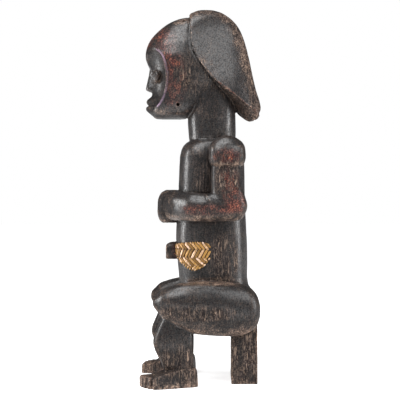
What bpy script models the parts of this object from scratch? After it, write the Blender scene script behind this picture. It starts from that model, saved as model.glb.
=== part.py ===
"""Seated guardian figure carved from one block of dark wood, with a patch of plaited brass on its left flank.

The figure faces -Y, its left side is +X, and it stands on two feet and a broad post under the seat at z = 0.
Every carved size is in grains, of which the figure is GRAINS_TALL high, so the carving follows HEIGHT.
The patch keeps its own thickness and lies on the belly's curve.
"""

import math

import bmesh
import bpy
from mathutils import Matrix, Vector

# Driving dimensions, in metres.
HEIGHT = 0.500
PATCH_THICKNESS = 0.0022
PATCH_GAP = 0.0005
PEG_HOLE_RADIUS = 0.0022
PEG_HOLE_DEPTH = 0.009
# The carver set the right knee a little further forwards than the left one, in grains.
RIGHT_KNEE_ADVANCE = 4.5
# Faces that meet at less than this turn are shaded as one smooth surface.
SMOOTH_BELOW = math.radians(38)

GRAINS_TALL = 502
GRAIN = HEIGHT / GRAINS_TALL
UP = Vector((0, 0, 1))
ACROSS = Vector((1, 0, 0))
BACKWARD = Vector((0, 1, 0))


def clear_scene():
    for old in list(bpy.data.objects):
        bpy.data.objects.remove(old)


def collection_named(name, hidden=False):
    made = bpy.data.collections.new(name)
    made.hide_render = hidden
    bpy.context.scene.collection.children.link(made)
    return made


def make_material(name, colour, roughness, metallic):
    material = bpy.data.materials.new(name)
    material.use_nodes = True
    shader = material.node_tree.nodes["Principled BSDF"]
    shader.inputs["Base Color"].default_value = (*colour, 1)
    shader.inputs["Roughness"].default_value = roughness
    shader.inputs["Metallic"].default_value = metallic
    return material


def object_from(bm, name, collection, scale=GRAIN):
    """Makes the bmesh an object whose faces point outwards. Its points are in grains unless scale says otherwise.

    In a hidden collection it is an operand of a Boolean, so it is drawn as wire and left out of renders."""
    bmesh.ops.recalc_face_normals(bm, faces=bm.faces)
    bmesh.ops.scale(bm, vec=Vector((scale, scale, scale)), verts=bm.verts)
    mesh = bpy.data.meshes.new(name)
    bm.to_mesh(mesh)
    bm.free()
    mesh.shade_smooth()
    mesh.set_sharp_from_angle(angle=SMOOTH_BELOW)
    made = bpy.data.objects.new(name, mesh)
    collection.objects.link(made)
    if collection.hide_render:
        made.hide_render = True
        made.display_type = "WIRE"
    return made


def rounded(turn, squareness):
    """Cosine and sine of a turn, bent into a superellipse: 2 is an ellipse, and more is squarer."""
    power = 2 / squareness
    cosine, sine = math.cos(turn), math.sin(turn)
    return (
        math.copysign(abs(cosine) ** power, cosine),
        math.copysign(abs(sine) ** power, sine),
    )


def section(centre, u, v, half_u, half_v, squareness, count):
    """A closed ring of points in the plane of u and v."""
    ring = []
    for i in range(count):
        cosine, sine = rounded(2 * math.pi * i / count, squareness)
        ring.append(centre + u * (half_u * cosine) + v * (half_v * sine))
    return ring


def loft(name, rings, collection):
    """A closed solid through rings with the same number of points, capped flat at both ends."""
    bm = bmesh.new()
    rows = [[bm.verts.new(point) for point in ring] for ring in rings]
    count = len(rows[0])
    for low, high in zip(rows, rows[1:]):
        for i in range(count):
            j = (i + 1) % count
            bm.faces.new((low[i], low[j], high[j], high[i]))
    bm.faces.new(rows[0])
    bm.faces.new(rows[-1])
    return object_from(bm, name, collection)


def upright(name, table, collection, count, side=1):
    """A loft of level sections. A row is height, front, back, middle, half width, squareness."""
    rings = []
    for height, front, back, middle, half_width, squareness in table:
        centre = Vector((middle, (front + back) / 2, height))
        ring = section(centre, ACROSS, BACKWARD, half_width, (back - front) / 2, squareness, count)
        rings.append(placed(ring, mirrored(side)))
    return loft(name, rings, collection)


def lying(name, table, collection, count, side=1):
    """A loft of sections that stand across Y. A row is y, bottom, top, inner side, outer side, squareness."""
    rings = []
    for along, bottom, top, inner, outer, squareness in table:
        centre = Vector(((inner + outer) / 2, along, (bottom + top) / 2))
        ring = section(centre, ACROSS, UP, (outer - inner) / 2, (top - bottom) / 2, squareness, count)
        rings.append(placed(ring, mirrored(side)))
    return loft(name, rings, collection)


def placed(points, matrix):
    return [matrix @ point for point in points]


def mirrored(side):
    """Leaves the left side as it is and turns it over for the right side."""
    return Matrix.Scale(side, 4, ACROSS)


# Level sections of the body: height, front, back, middle, half width, squareness, from the seat to the shoulders.
TORSO = [
    (68, -8, 72, 0, 36, 2.8),
    (78, -18, 75.4, 0, 41, 3.2),
    (100, -26, 74, 0, 41.6, 3.1),
    (118, -27.6, 69, 0, 41.4, 2.9),
    (133, -28.1, 65, 0, 41.2, 2.7),
    (159, -30.4, 64.4, 0, 42, 2.7),
    (185, -32.4, 63.8, 0, 42.5, 2.7),
    (212, -32.2, 62.4, 0, 42.5, 2.7),
    (240, -30.2, 60.8, 0, 42, 2.7),
    (270, -28.6, 60.4, 0, 42, 2.7),
    (294, -27.6, 60, 0, 41.5, 2.7),
    (306, -26.6, 59.5, 0, 40.5, 2.7),
    (316, -23.2, 57.5, 0, 38, 2.6),
    (322, -17.5, 54, 0, 34, 2.5),
    (326.4, -9, 48, 0, 27, 2.4),
]


def make_torso(collection):
    return upright("torso", TORSO, collection, 36)


def make_neck(collection):
    table = [
        (300, -13, 46, 0, 27, 2.3),
        (330, -15.2, 48.6, 0, 29, 2.3),
        (350, -16.4, 48.4, 0, 29, 2.3),
        (372, -17, 48, 0, 28.5, 2.3),
        (405, -12, 46, 0, 27, 2.3),
    ]
    return upright("neck", table, collection, 26)


def make_skull(collection, hollows):
    """The egg of the head, with its brow and chin, hollowed on each side of the nose."""
    table = [
        (354.4, -60, -19, 0, 14, 2.6),
        (356.6, -63, -15, 0, 19, 2.5),
        (361, -65.8, -9, 0, 25, 2.8),
        (368, -66.8, -2, 0, 28, 2.7),
        (378, -65.8, 7, 0, 31, 2.5),
        (390, -65.2, 20, 0, 34.5, 2.2),
        (402, -65.6, 33, 0, 37, 2.2),
        (412, -66.4, 41, 0, 38, 2.2),
        (421.5, -68.2, 47, 0, 38.5, 2.2),
        (428.7, -71.4, 50, 0, 38.5, 2.2),
        (436, -73.6, 51, 0, 38.2, 2.2),
        (444.5, -73.4, 51, 0, 37.2, 2.1),
        (454.4, -70.6, 49, 0, 35.5, 2.1),
        (464, -65, 46, 0, 32.5, 2),
        (474.4, -55, 40, 0, 28, 2),
        (483, -43.5, 32, 0, 22, 2),
        (489, -30.5, 22, 0, 14, 2),
        (491.6, -20, 10, 0, 7, 2),
    ]
    skull = upright("skull", table, collection, 34)
    for side in (1, -1):
        make_cheek_hollow(side, hollows)
    join_with(skull, hollows, "DIFFERENCE")


def make_nose(collection):
    """The long wedge of the nose, from between the eyes to its flat under side."""
    table = [
        (390, -64.6, -46, 0, 6.6, 3),
        (391.6, -70.5, -46, 0, 8, 3),
        (394, -73.4, -46, 0, 8.4, 2.8),
        (402, -72, -46, 0, 7.4, 2.6),
        (412, -69.8, -48, 0, 6, 2.4),
        (422, -68.4, -50, 0, 5, 2.2),
        (432, -67.5, -52, 0, 4, 2.2),
    ]
    upright("nose", table, collection, 16)


def make_mouth(collection):
    """The two lips, thrust forwards above the chin, with the mouth as the groove between them."""
    table = [
        (356.4, -62.4, -36, 0, 17, 2.2),
        (361, -68, -36, 0, 19.6, 2.2),
        (366.8, -73.4, -36, 0, 20.6, 2.1),
        (369.6, -72.8, -36, 0, 20.6, 2.1),
        (371, -70.2, -35, 0, 19.8, 2.1),
        (372.2, -70.2, -35, 0, 19.6, 2.1),
        (373.8, -71.6, -36, 0, 20.2, 2.1),
        (377.2, -72.8, -36, 0, 19.4, 2.1),
        (383.5, -66.8, -38, 0, 15.5, 2.1),
        (389.4, -63, -40, 0, 10, 2.1),
    ]
    upright("mouth", table, collection, 22)


# The sides of the hair lean inwards from the edge to the back by this share of the half width.
COIFFURE_TAPER = 0.5


def make_coiffure(collection):
    """The helmet of hair: a thick shell from the crown to a tail behind the neck.

    A row is the back outline, the edge and the under side as (y, z), and the half width at the edge."""
    table = [
        (-12.7, 497.5, -15, 493.5, -14, 489, 9),
        (-3, 501, -14.4, 485, -5, 476, 22.5),
        (8, 502, -14, 470, 5, 463, 32.5),
        (20, 501, -12.6, 453, 12, 447, 38),
        (33, 496, -7.6, 439, 18, 434, 41),
        (44.5, 487.5, -1.6, 427.5, 22, 422, 43),
        (53, 477, 7, 415.4, 25, 408, 44),
        (59.5, 462, 17.5, 404, 28, 396, 44),
        (66, 438.5, 28, 395.5, 31, 386, 43),
        (71.6, 413, 40.5, 386.8, 38, 376, 41),
        (76.6, 391, 52, 378.3, 46, 367, 37),
        (81.4, 376, 63.4, 369.5, 54, 358.5, 31),
        (83, 367, 72.4, 364.5, 62.5, 352.4, 24),
        (81.8, 358.6, 75.6, 359.6, 69, 349.4, 17.5),
        (78.4, 352.6, 75.4, 355, 72.6, 349.6, 11),
    ]
    outer_steps = 16
    rings = []
    for back_y, back_z, edge_y, edge_z, under_y, under_z, half_width in table:
        back, edge, under = (Vector((0, *at)) for at in ((back_y, back_z), (edge_y, edge_z), (under_y, under_z)))
        ring = []
        for i in range(outer_steps + 1):
            across, outward = rounded(math.pi * i / outer_steps, 3.2)
            half = half_width * (1 - COIFFURE_TAPER * outward)
            ring.append(edge + (back - edge) * outward + ACROSS * (half * across))
        for share in (-0.6, 0, 0.6):
            ring.append(edge.lerp(under, 1 - share**2 * 1.6) + ACROSS * (half_width * share))
        rings.append(ring)
    return loft("coiffure", rings, collection)


def make_shoulder(side, collection):
    table = [
        (286.6, 17, 50, 54.6, 12.5, 2.4),
        (289.4, 12.5, 55, 54.8, 17, 2.6),
        (295, 10.2, 57.6, 54.8, 19.2, 2.7),
        (306, 9.8, 58.2, 54.6, 19.2, 2.6),
        (314, 11, 57, 53.8, 17.8, 2.5),
        (320.5, 15, 52.8, 52.4, 14, 2.3),
        (325.5, 22, 45.5, 51, 9.5, 2),
        (328, 29, 39, 50, 4, 2),
    ]
    return upright("shoulder", table, collection, 24, side)


# The arm from the shoulder to the crook: inner point, outer point, middle across the body, half width, squareness.
UPPER_ARM = [
    (14.5, 300, 50.5, 300, 53, 13.4, 2.5),
    (13.2, 285, 51.8, 285, 53.6, 14.4, 2.6),
    (13, 268, 52, 266, 54.8, 15.2, 2.6),
    (13, 256.5, 57, 249, 56.6, 16.4, 2.5),
    (12.6, 253.6, 60, 234, 57.2, 16.8, 2.4),
    (10, 252.3, 53.5, 219.8, 57.4, 16.8, 2.3),
    (3, 251.6, 36, 216.2, 57.4, 16.8, 2.3),
]
# The rest of the arm, level round to the middle of the chest: across, along, height, half thickness, half height.
FOREARM = [
    (55.6, 10, 233.7, 16.4, 17.9),
    (48, -9.5, 234.5, 15.4, 18.6),
    (36, -23, 235.3, 14, 18.8),
    (24, -31.5, 236, 15, 19.6),
    (14, -35.5, 236, 14.2, 19),
    (6, -37, 236, 10.5, 14.5),
    (3, -37, 236, 5, 7),
]
ARM_POINTS = 16


def make_arm(side, collection):
    """The whole arm in one sweep: down from the shoulder, round the elbow and forwards to the fist."""
    rings = []
    for near_y, near_z, far_y, far_z, middle, half_width, squareness in UPPER_ARM:
        near, far = Vector((middle, near_y, near_z)), Vector((middle, far_y, far_z))
        reach = (far - near) / 2
        rings.append(
            section((near + far) / 2, ACROSS, reach.normalized(), half_width, reach.length, squareness, ARM_POINTS)
        )
    for i, (x, y, z, half_thickness, half_height) in enumerate(FOREARM):
        before, after = FOREARM[max(i - 1, 0)], FOREARM[min(i + 1, len(FOREARM) - 1)]
        along = Vector((after[0] - before[0], after[1] - before[1], 0)).normalized()
        sideways = UP.cross(along)
        rings.append(section(Vector((x, y, z)), sideways, -UP, half_thickness, half_height, 2.3, ARM_POINTS))
    return loft("arm", [placed(ring, mirrored(side)) for ring in rings], collection)


def make_bundle(collection):
    """The short rounded block that the fists hold against the chest."""
    table = [
        (213, -51, -28, 0, 11, 2.4),
        (216, -54.5, -26, 0, 14, 2.5),
        (222, -57, -25, 0, 16, 2.6),
        (236, -57.7, -25, 0, 16.6, 2.6),
        (247, -56.2, -25, 0, 16, 2.6),
        (254, -52, -26, 0, 14, 2.5),
        (257.2, -46.5, -28, 0, 11, 2.4),
    ]
    return upright("bundle", table, collection, 22)


def make_navel(collection):
    """The stub of the navel, which stands out level from the belly."""
    table = [
        (-46.3, 164.2, 181.6, -8, 8, 3),
        (-44.5, 163.8, 184, -8.6, 8.6, 3),
        (-30, 163.4, 187, -9.5, 9.5, 2.6),
        (-22, 163.4, 187, -9.5, 9.5, 2.6),
    ]
    return lying("navel", table, collection, 16)


def make_thigh(side, collection):
    advance = RIGHT_KNEE_ADVANCE if side < 0 else 0
    table = [
        (-63.2, 106.6, 111.4, 41, 48, 2),
        (-61.8, 103, 115.4, 36, 54.5, 2.1),
        (-57, 96.5, 120.4, 32.5, 60, 2.1),
        (-50.5, 88.4, 126.4, 29.5, 65, 2.2),
        (-42, 82.5, 130, 27.5, 68.5, 2.3),
        (-30, 75, 133.5, 26, 71, 2.3),
        (-15, 69.5, 136, 25, 73, 2.3),
        (3, 66.6, 137.3, 24, 73, 2.3),
        (24, 65.3, 136.5, 24, 74, 2.3),
        (41, 65, 135, 25, 73.5, 2.3),
        (56, 67, 132.6, 27, 72, 2.3),
        (66, 71.6, 127.6, 30, 70, 2.2),
        (73.5, 79, 118.4, 35, 65, 2.1),
        (77.4, 90, 106, 43, 57, 2),
    ]
    moved = [(y - advance * max(0, min(1, -y / 50)), *rest) for y, *rest in table]
    return lying("thigh", moved, collection, 22, side)


def make_shin(side, collection):
    advance = RIGHT_KNEE_ADVANCE if side < 0 else 0
    table = [
        (12, -43, -7.5, 50, 11.5, 2.6),
        (22, -48.5, -9.6, 50, 12.6, 2.8),
        (30, -51.5, -9.8, 50.2, 14, 3),
        (39.5, -56.5, -9.8, 49.6, 14.8, 3),
        (48, -60.5, -9.6, 49.2, 15.4, 3),
        (57, -62.7, -9.4, 48.8, 15.6, 3),
        (66, -61.6, -9.4, 48.2, 15.4, 3),
        (76, -57.5, -9.6, 47.4, 15, 2.8),
        (96, -49, -11, 46, 14, 2.6),
    ]
    moved = []
    for height, front, back, *rest in table:
        shift = advance * max(0, min(1, (height - 20) / 40))
        moved.append((height, front - shift, back - shift, *rest))
    return upright("shin", moved, collection, 18, side)


# The foot points outwards from the ankle by this turn, and its toes lie side by side across the front.
TOE_OUT = math.radians(10)
ANKLE = Vector((49.5, -17, 0))
# Each toe from the big one outwards: middle across the foot, tip, half width, height.
TOES = [
    (-12.2, -62, 5.4, 14.5),
    (-3.6, -61.4, 3.9, 15.2),
    (3.4, -59, 3.7, 15.2),
    (10, -54.5, 3.6, 15),
    (16.2, -49, 3.4, 14.6),
]


def foot_matrix(side):
    return mirrored(side) @ Matrix.Translation(ANKLE) @ Matrix.Rotation(TOE_OUT, 4, "Z")


def standing_section(along, inner, outer, height, corner, matrix):
    """A section across the foot: flat on the floor, with upright sides and rounded upper corners."""
    outline = [(inner, 0), (outer, 0)]
    for x, first in ((outer - corner, 0), (inner + corner, 90)):
        for degrees in range(first, first + 91, 30):
            turn = math.radians(degrees)
            outline.append((x + corner * math.cos(turn), height - corner + corner * math.sin(turn)))
    return placed([Vector((x, along, z)) for x, z in outline], matrix)


def make_foot(side, collection):
    """The sole is flat, the sides are upright, and the instep slopes down to the roots of the toes."""
    # Along the foot, inner side, outer side, height, corner radius.
    table = [
        (11, -10.5, 10.5, 10, 4),
        (9.4, -11.4, 11.4, 23.4, 5),
        (6, -12.6, 12.8, 26, 4),
        (-8, -15.2, 15.2, 26, 4),
        (-22, -16.8, 17.6, 22.4, 4),
        (-36, -17.4, 19.2, 18.4, 3.5),
        (-45, -17.4, 19.6, 16.2, 3),
    ]
    rings = [standing_section(*row, foot_matrix(side)) for row in table]
    return loft("foot", rings, collection)


def make_toe(side, toe, collection):
    middle, tip, half_width, height = toe
    root = -36
    # Share of the toe's length back from its tip, share of its half width, share of its height.
    table = [(0, 0.7, 0.78), (0.07, 0.93, 0.94), (0.4, 1, 1), (1, 1, 1.04)]
    rings = []
    for back, wide, high in table:
        along, half = tip + (root - tip) * back, half_width * wide
        rings.append(
            standing_section(along, middle - half, middle + half, height * high, half * 0.6, foot_matrix(side))
        )
    return loft("toe", rings, collection)


def make_post(collection):
    """The broad squared post under the seat. Its front face is cut a little askew."""
    corners = [(-41.4, 44), (41.4, 40.6), (41.4, 75), (-41.4, 75)]
    top, chamfer = 86, 2
    bm = bmesh.new()
    bottom = bm.faces.new([bm.verts.new((x, y, 0)) for x, y in corners])
    raised = bmesh.ops.extrude_face_region(bm, geom=[bottom])["geom"]
    bmesh.ops.translate(bm, vec=UP * top, verts=[item for item in raised if isinstance(item, bmesh.types.BMVert)])
    upright_edges = [edge for edge in bm.edges if abs(edge.verts[0].co.z - edge.verts[1].co.z) > top / 2]
    bmesh.ops.bevel(bm, geom=upright_edges, offset=chamfer, segments=2, affect="EDGES", profile=0.5)
    return object_from(bm, "post", collection)


def ball(name, centre, radii, collection, segments=16, rings=10):
    bm = bmesh.new()
    bmesh.ops.create_uvsphere(bm, u_segments=segments, v_segments=rings, radius=1)
    bmesh.ops.scale(bm, vec=Vector(radii), verts=bm.verts)
    bmesh.ops.translate(bm, vec=Vector(centre), verts=bm.verts)
    return object_from(bm, name, collection)


def make_cheek_hollow(side, collection):
    """Cuts the hollow of one cheek, from the side of the nose to the rim of the face."""
    return ball("cheek_hollow", (40.5 * side, -85, 405.5), (39, 41.5, 59), collection, 24, 16)


def make_eye(side, collection):
    """A raised almond beside the nose, which looks forwards and a little outwards."""
    bm = bmesh.new()
    bmesh.ops.create_uvsphere(bm, u_segments=14, v_segments=8, radius=1)
    stretch = Matrix.Diagonal((7.6, 8.8, 3.4, 1))
    look = Vector((0.6 * side, -0.8, 0)).to_track_quat("Z", "Y").to_matrix().to_4x4()
    bmesh.ops.transform(bm, matrix=Matrix.Translation((13.4 * side, -60.4, 410)) @ look @ stretch, verts=bm.verts)
    return object_from(bm, "eye", collection)


def drill(name, centre, axis, radius, depth, collection):
    """Cuts a round hole whose mouth is at centre, in metres. It goes in along axis, and starts clear outside."""
    bm = bmesh.new()
    bmesh.ops.create_cone(bm, cap_ends=True, segments=10, radius1=radius, radius2=radius, depth=2 * depth)
    turn = Vector(axis).to_track_quat("Z", "X").to_matrix().to_4x4()
    bmesh.ops.transform(bm, matrix=Matrix.Translation(Vector(centre)) @ turn, verts=bm.verts)
    return object_from(bm, name, collection, 1)


def make_peg_holes(collection):
    """A hole in the left jaw and one beside the crown, where pegs or feathers were once held."""
    drill("jaw_hole", Vector((29, -30, 371)) * GRAIN, ACROSS, PEG_HOLE_RADIUS, PEG_HOLE_DEPTH, collection)
    crown = Vector((17, -22, 484)) * GRAIN
    drill("crown_hole", crown, (0.55, -0.2, 0.8), PEG_HOLE_RADIUS, PEG_HOLE_DEPTH, collection)


def join_with(target, collection, operation):
    modifier = target.modifiers.new(operation.lower(), "BOOLEAN")
    modifier.operation = operation
    modifier.operand_type = "COLLECTION"
    modifier.collection = collection
    modifier.solver = "EXACT"


def make_figure(shown, added, hollows, holes):
    """Joins everything that is carved from the block into one solid, then cuts the holes."""
    figure = make_torso(shown)
    figure.name = "carved_figure"
    make_neck(added)
    make_skull(added, hollows)
    make_nose(added)
    make_mouth(added)
    make_coiffure(added)
    make_bundle(added)
    make_navel(added)
    make_post(added)
    for side in (1, -1):
        make_eye(side, added)
        make_shoulder(side, added)
        make_arm(side, added)
        make_thigh(side, added)
        make_shin(side, added)
        make_foot(side, added)
        for toe in TOES:
            make_toe(side, toe, added)
    make_peg_holes(holes)
    join_with(figure, added, "UNION")
    join_with(figure, holes, "DIFFERENCE")
    return figure


# The patch lies on the belly from beside the navel round to the left side. A row is the turn about the body in
# degrees, where -90 is the front and 0 the left side, then the heights of its lower and upper edge in grains.
PATCH = [
    (-79, 171, 180),
    (-70, 166.5, 182),
    (-60, 162, 183.3),
    (-50, 158, 184),
    (-40, 154, 184.6),
    (-31, 151.3, 185),
    (-24, 150.6, 185.3),
    (-16, 153, 185.5),
    (-9, 157, 185.3),
    (-4, 163.5, 184),
    (-1.5, 169.5, 181),
]


def torso_point(turn, height):
    """The point of the torso's surface at a turn about its axis and a height, in grains."""
    low, high = next(pair for pair in zip(TORSO, TORSO[1:]) if pair[0][0] <= height <= pair[1][0])
    share = (height - low[0]) / (high[0] - low[0])
    _, front, back, middle, half_width, squareness = (a + (b - a) * share for a, b in zip(low, high))
    cosine, sine = rounded(turn, squareness)
    return Vector((middle + half_width * cosine, (front + back) / 2 + (back - front) / 2 * sine, height))


def make_patch(collection):
    """A thin curved leaf that stands off the belly by the gap, so that the two stay separate pieces."""
    rows = 6
    bm = bmesh.new()
    grid = []
    for degrees, bottom, top in PATCH:
        turn = math.radians(degrees)
        column = []
        for i in range(rows + 1):
            height = bottom + (top - bottom) * i / rows
            on_body = torso_point(turn, height)
            around = torso_point(turn + 0.02, height) - torso_point(turn - 0.02, height)
            outward = around.cross(UP).normalized()
            column.append(bm.verts.new(on_body * GRAIN + outward * PATCH_GAP))
        grid.append(column)
    for left, right in zip(grid, grid[1:]):
        for i in range(rows):
            bm.faces.new((left[i], right[i], right[i + 1], left[i + 1]))
    bmesh.ops.recalc_face_normals(bm, faces=bm.faces)
    if sum(face.normal.x for face in bm.faces) < 0:
        bmesh.ops.reverse_faces(bm, faces=bm.faces)
    mesh = bpy.data.meshes.new("brass_patch")
    bm.to_mesh(mesh)
    bm.free()
    mesh.shade_smooth()
    patch = bpy.data.objects.new("brass_patch", mesh)
    collection.objects.link(patch)
    thicken = patch.modifiers.new("thicken", "SOLIDIFY")
    thicken.thickness = PATCH_THICKNESS
    thicken.offset = 1
    return patch


def stand_on_origin(figure):
    """Moves everything, cutters too, so that the origin is the middle of the figure's base."""
    bpy.context.view_layer.update()
    corners = [Vector(corner) for corner in figure.evaluated_get(bpy.context.evaluated_depsgraph_get()).bound_box]
    middle = (corners[0] + corners[6]) / 2
    offset = Vector((middle.x, middle.y, corners[0].z))
    for each in bpy.data.objects:
        each.location -= offset


def main():
    clear_scene()
    shown = collection_named("guardian_figure")
    added = collection_named("carved_masses", hidden=True)
    hollows = collection_named("face_hollows", hidden=True)
    holes = collection_named("peg_holes", hidden=True)
    figure = make_figure(shown, added, hollows, holes)
    figure.data.materials.append(make_material("dark_wood", (0.05, 0.035, 0.028), 0.42, 0))
    patch = make_patch(shown)
    patch.data.materials.append(make_material("plaited_brass", (0.72, 0.52, 0.24), 0.35, 1))
    stand_on_origin(figure)


if __name__ == "__main__":
    main()
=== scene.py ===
"""Dresses the seated guardian figure: worn dark wood with red pigment, and a plaited brass patch on its flank.

Sizes of the carving are in grains, as in the part's source: the figure is GRAINS_TALL of them high.
It faces -Y and its left side is +X.
"""

import itertools
import math

import bmesh
import bpy
import numpy as np
from bpy.props import FloatProperty, FloatVectorProperty, IntProperty, PointerProperty
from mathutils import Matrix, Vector
from mathutils.bvhtree import BVHTree


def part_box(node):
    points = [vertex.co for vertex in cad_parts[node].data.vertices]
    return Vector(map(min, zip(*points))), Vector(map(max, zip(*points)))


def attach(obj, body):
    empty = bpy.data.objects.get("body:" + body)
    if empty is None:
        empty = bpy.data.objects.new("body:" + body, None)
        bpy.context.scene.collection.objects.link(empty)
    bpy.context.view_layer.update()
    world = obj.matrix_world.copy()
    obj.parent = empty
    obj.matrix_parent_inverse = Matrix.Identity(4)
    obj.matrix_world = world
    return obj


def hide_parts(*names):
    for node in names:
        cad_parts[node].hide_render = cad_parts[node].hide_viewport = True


bl_info = {
    "name": "Seated guardian figure",
    "version": (1, 0, 0),
    "blender": (4, 5, 0),
    "location": "View3D > Sidebar > Guardian",
    "description": "Carves, plaits and lights the seated guardian figure around its packed solids",
    "category": "Object",
}

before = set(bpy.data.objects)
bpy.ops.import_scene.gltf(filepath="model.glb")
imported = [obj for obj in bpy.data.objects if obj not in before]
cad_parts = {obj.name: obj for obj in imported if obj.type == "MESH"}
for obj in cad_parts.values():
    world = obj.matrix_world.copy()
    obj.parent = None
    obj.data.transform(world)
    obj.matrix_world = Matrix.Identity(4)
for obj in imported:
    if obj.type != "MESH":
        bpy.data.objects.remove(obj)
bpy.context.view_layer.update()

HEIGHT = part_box("carved_figure")[1].z
GRAINS_TALL = 502
GRAIN = HEIGHT / GRAINS_TALL
# The part's origin is the middle of its base, this far behind the middle of the carving's own grid.
SETBACK = 1.1
RIGHT_KNEE_ADVANCE = 4.5
PEG_HOLE_RADIUS = 0.0022
PEG_HOLE_DEPTH = 0.009
# Points in one ring of a loft, unless the shape asks for more or fewer.
AROUND = 72
UP = np.array((0.0, 0.0, 1.0))


# Shapes


def rounded(turns, squareness):
    """Cosines and sines bent into a superellipse: 2 is an ellipse, and more is squarer."""
    power = 2 / squareness
    cosine, sine = np.cos(turns), np.sin(turns)
    return np.sign(cosine) * abs(cosine) ** power, np.sign(sine) * abs(sine) ** power


def section(centre, u, v, half_u, half_v, squareness, count=AROUND):
    """A closed ring of points in the plane of u and v."""
    across, along = rounded(2 * math.pi * np.arange(count) / count, squareness)
    return np.array(centre) + np.outer(across * half_u, u) + np.outer(along * half_v, v)


def smooth_rings(rings, steps, tight=False):
    """Puts rings between the given ones, on a curve through them. A tight curve never swings past a ring."""
    rings = np.array(rings, float)
    gaps = np.linalg.norm(np.diff(rings, axis=0), axis=2).mean(axis=1) + 1e-9
    steep = np.diff(rings, axis=0) / gaps[:, None, None]
    before, after = steep[:-1], steep[1:]
    share = (gaps[1:] / (gaps[:-1] + gaps[1:]))[:, None, None]
    slopes = np.empty_like(rings)
    slopes[1:-1] = before * share + after * (1 - share)
    slopes[0], slopes[-1] = steep[0], steep[-1]
    if tight:
        limit = 3 * np.minimum(abs(before), abs(after))
        slopes[1:-1] = np.where(before * after > 0, np.clip(slopes[1:-1], -limit, limit), 0)
    made = []
    for i, gap in enumerate(gaps):
        for t in np.arange(steps) / steps:
            a, b = rings[i], rings[i + 1]
            bend = t * t * (3 - 2 * t)
            tangents = (t - 2 * t**2 + t**3) * slopes[i] + (t**3 - t**2) * slopes[i + 1]
            made.append(a + (b - a) * bend + tangents * gap)
    made.append(rings[-1])
    return np.array(made)


def lofted(rings):
    """Points and faces of a closed solid through rings, capped flat at both ends."""
    rings = np.asarray(rings, float)
    rows, count = rings.shape[:2]
    index = np.arange(rows * count).reshape(rows, count)
    low, high = index[:-1], index[1:]
    quads = np.stack([low, np.roll(low, -1, 1), np.roll(high, -1, 1), high], axis=2).reshape(-1, 4)
    faces = [tuple(face) for face in quads.tolist()]
    faces += [tuple(index[0][::-1].tolist()), tuple(index[-1].tolist())]
    return rings.reshape(-1, 3), faces


def mirrored(points, side):
    return points * (side, 1, 1)


def upright(table, steps=6, count=AROUND, tight=False, side=1):
    """A loft of level sections. A row is height, front, back, middle, half width, squareness."""
    rings = []
    for height, front, back, middle, half, squareness in table:
        centre = (middle, (front + back) / 2, height)
        rings.append(section(centre, (1, 0, 0), (0, 1, 0), half, (back - front) / 2, squareness, count))
    return lofted(mirrored(smooth_rings(rings, steps, tight), side))


def lying(table, steps=6, count=AROUND, tight=False, side=1):
    """A loft of sections that stand across Y. A row is y, bottom, top, inner side, outer side, squareness."""
    rings = []
    for y, bottom, top, inner, outer, squareness in table:
        centre = ((inner + outer) / 2, y, (bottom + top) / 2)
        rings.append(section(centre, (1, 0, 0), UP, (outer - inner) / 2, (top - bottom) / 2, squareness, count))
    return lofted(mirrored(smooth_rings(rings, steps, tight), side))


# Level sections: height, front, back, middle, half width, squareness. The torso goes from the seat to the shoulders.
TORSO = [
    (68, -8, 72, 0, 36, 2.8),
    (78, -18, 75.4, 0, 41, 3.2),
    (100, -26, 74, 0, 41.6, 3.1),
    (118, -27.6, 69, 0, 41.4, 2.9),
    (133, -28.1, 65, 0, 41.2, 2.7),
    (159, -30.4, 64.4, 0, 42, 2.7),
    (185, -32.4, 63.8, 0, 42.5, 2.7),
    (212, -32.2, 62.4, 0, 42.5, 2.7),
    (240, -30.2, 60.8, 0, 42, 2.7),
    (270, -28.6, 60.4, 0, 42, 2.7),
    (294, -27.6, 60, 0, 41.5, 2.7),
    (306, -26.6, 59.5, 0, 40.5, 2.7),
    (316, -23.2, 57.5, 0, 38, 2.6),
    (322, -17.5, 54, 0, 34, 2.5),
    (326.4, -9, 48, 0, 27, 2.4),
]
NECK = [
    (300, -13, 46, 0, 27, 2.3),
    (330, -15.2, 48.6, 0, 29, 2.3),
    (350, -16.4, 48.4, 0, 29, 2.3),
    (372, -17, 48, 0, 28.5, 2.3),
    (405, -12, 46, 0, 27, 2.3),
]
SKULL = [
    (354.4, -60, -19, 0, 14, 2.6),
    (356.6, -63, -15, 0, 19, 2.5),
    (361, -65.8, -9, 0, 25, 2.8),
    (368, -66.8, -2, 0, 28, 2.7),
    (378, -65.8, 7, 0, 31, 2.5),
    (390, -65.2, 20, 0, 34.5, 2.2),
    (402, -65.6, 33, 0, 37, 2.2),
    (412, -66.4, 41, 0, 38, 2.2),
    (421.5, -68.2, 47, 0, 38.5, 2.2),
    (428.7, -71.4, 50, 0, 38.5, 2.2),
    (436, -73.6, 51, 0, 38.2, 2.2),
    (444.5, -73.4, 51, 0, 37.2, 2.1),
    (454.4, -70.6, 49, 0, 35.5, 2.1),
    (464, -65, 46, 0, 32.5, 2),
    (474.4, -55, 40, 0, 28, 2),
    (483, -43.5, 32, 0, 22, 2),
    (489, -30.5, 22, 0, 14, 2),
    (491.6, -20, 10, 0, 7, 2),
]
NOSE = [
    (390, -64.6, -46, 0, 6.6, 3),
    (391.6, -70.5, -46, 0, 8, 3),
    (394, -73.4, -46, 0, 8.4, 2.8),
    (402, -72, -46, 0, 7.4, 2.6),
    (412, -69.8, -48, 0, 6, 2.4),
    (422, -68.4, -50, 0, 5, 2.2),
    (432, -67.5, -52, 0, 4, 2.2),
]
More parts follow.
